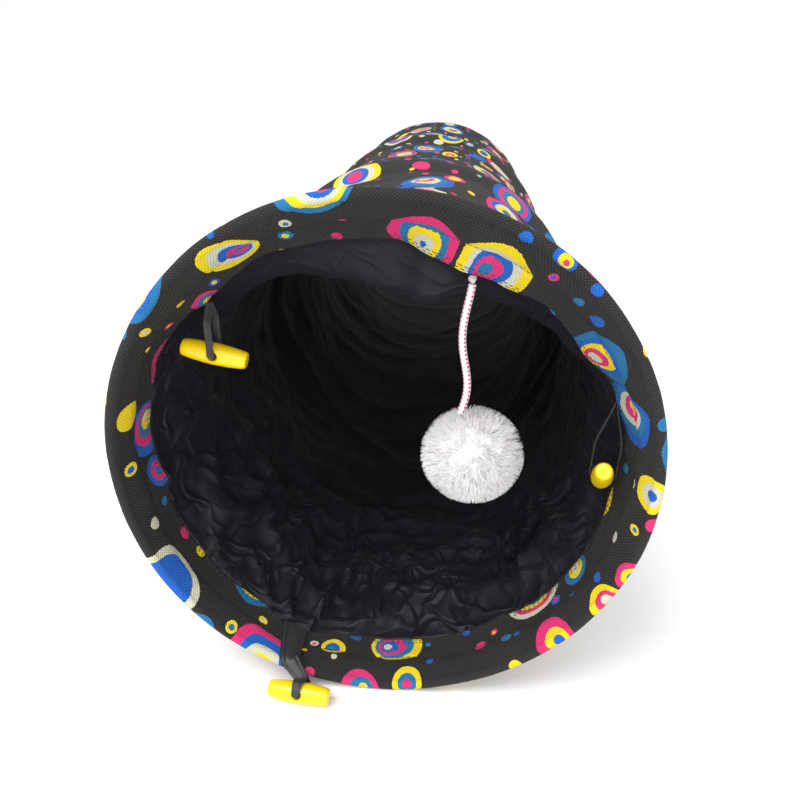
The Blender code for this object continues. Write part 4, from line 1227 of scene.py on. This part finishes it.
def add_light(name, place, aim, size, power):
    data = bpy.data.lights.new(name, "AREA")
    data.shape = "DISK"
    data.size = size
    data.energy = power
    lamp = linked(name, data)
    lamp.location = place
    lamp.visible_camera = False
    lamp.rotation_euler = (Vector(aim) - Vector(place)).to_track_quat("-Z", "Y").to_euler()


def set_stage():
    world = bpy.data.worlds.new("studio")
    world.use_nodes = True
    sky = world.node_tree.nodes["Background"]
    sky.inputs["Color"].default_value = (1.0, 1.0, 1.0, 1.0)
    sky.inputs["Strength"].default_value = 1.0
    bpy.context.scene.world = world
    add_light("key", (-0.9, -1.35, 2.2), (0, -0.35, 0.1), 1.6, 40)
    add_light("front", (0.5, -2.45, 1.3), (0, -0.35, 0.1), 1.4, 18)
    bend = np.linspace(0.06, pi / 2, 26)
    run = np.r_[np.linspace(-6, 2.5, 18), 2.5 + 4 * np.sin(bend), 6.5][:, None]
    rise = np.r_[np.zeros(18), 4 * (1 - np.cos(bend)), 9.0][:, None]
    across = np.linspace(-12, 12, 9)[None, :]
    points = np.stack(np.broadcast_arrays(across, run, rise), axis=-1)
    faces, _, _ = grid_faces(*points.shape[:2], around=False, flip=True)
    floor = mesh_object("floor", points.reshape(-1, 3), faces, floor_material())
    bpy.context.scene.view_settings.view_transform = "Standard"


def main():
    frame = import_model()
    set_camera()
    build_string(elastic_material("braided elastic", dark=False))
    canvas = canvas_material()
    build_cover(canvas)
    build_hem("near", END_RADIUS, FACING_DEPTH, BAND_END_RADIUS, canvas)
    build_hem("far", FAR_RADIUS, FAR_BAND_DEPTH, float(outer_radius(TUNNEL_LENGTH - FAR_BAND_DEPTH)), canvas)
    build_near_facing(canvas)
    build_far_facing(canvas)
    for number, place in enumerate(HOOP_PLACES, start=1):
        build_sleeve(number, place, canvas)
    build_lining(taffeta_material())
    build_stitches(thread_material())
    barrel = barrel_mesh(plastic_material())
    tape = tape_material()
    build_hanging_toggle(1, barrel, TOGGLE_1_ROOT, TOGGLE_1_CENTRE, 0, 12, tape)
    build_hanging_toggle(2, barrel, TOGGLE_2_ROOT, TOGGLE_2_CENTRE, 76.9, 28, tape)
    build_floor_toggle(barrel, tape)
    build_pompom(plush_material())
    build_catch_loops(elastic_material("black elastic", dark=True))
    steel = metal_material("spring steel", (0.46, 0.46, 0.48), 0.22)
    crimp = metal_material("crimped aluminium", (0.72, 0.72, 0.74), 0.3)
    for name, node in frame["nodes"].items():
        for ending, metal in (("_wire", steel), ("_ferrule", crimp)):
            if name.endswith(ending):
                node.data.materials.clear()
                node.data.materials.append(metal)
    set_stage()


main()
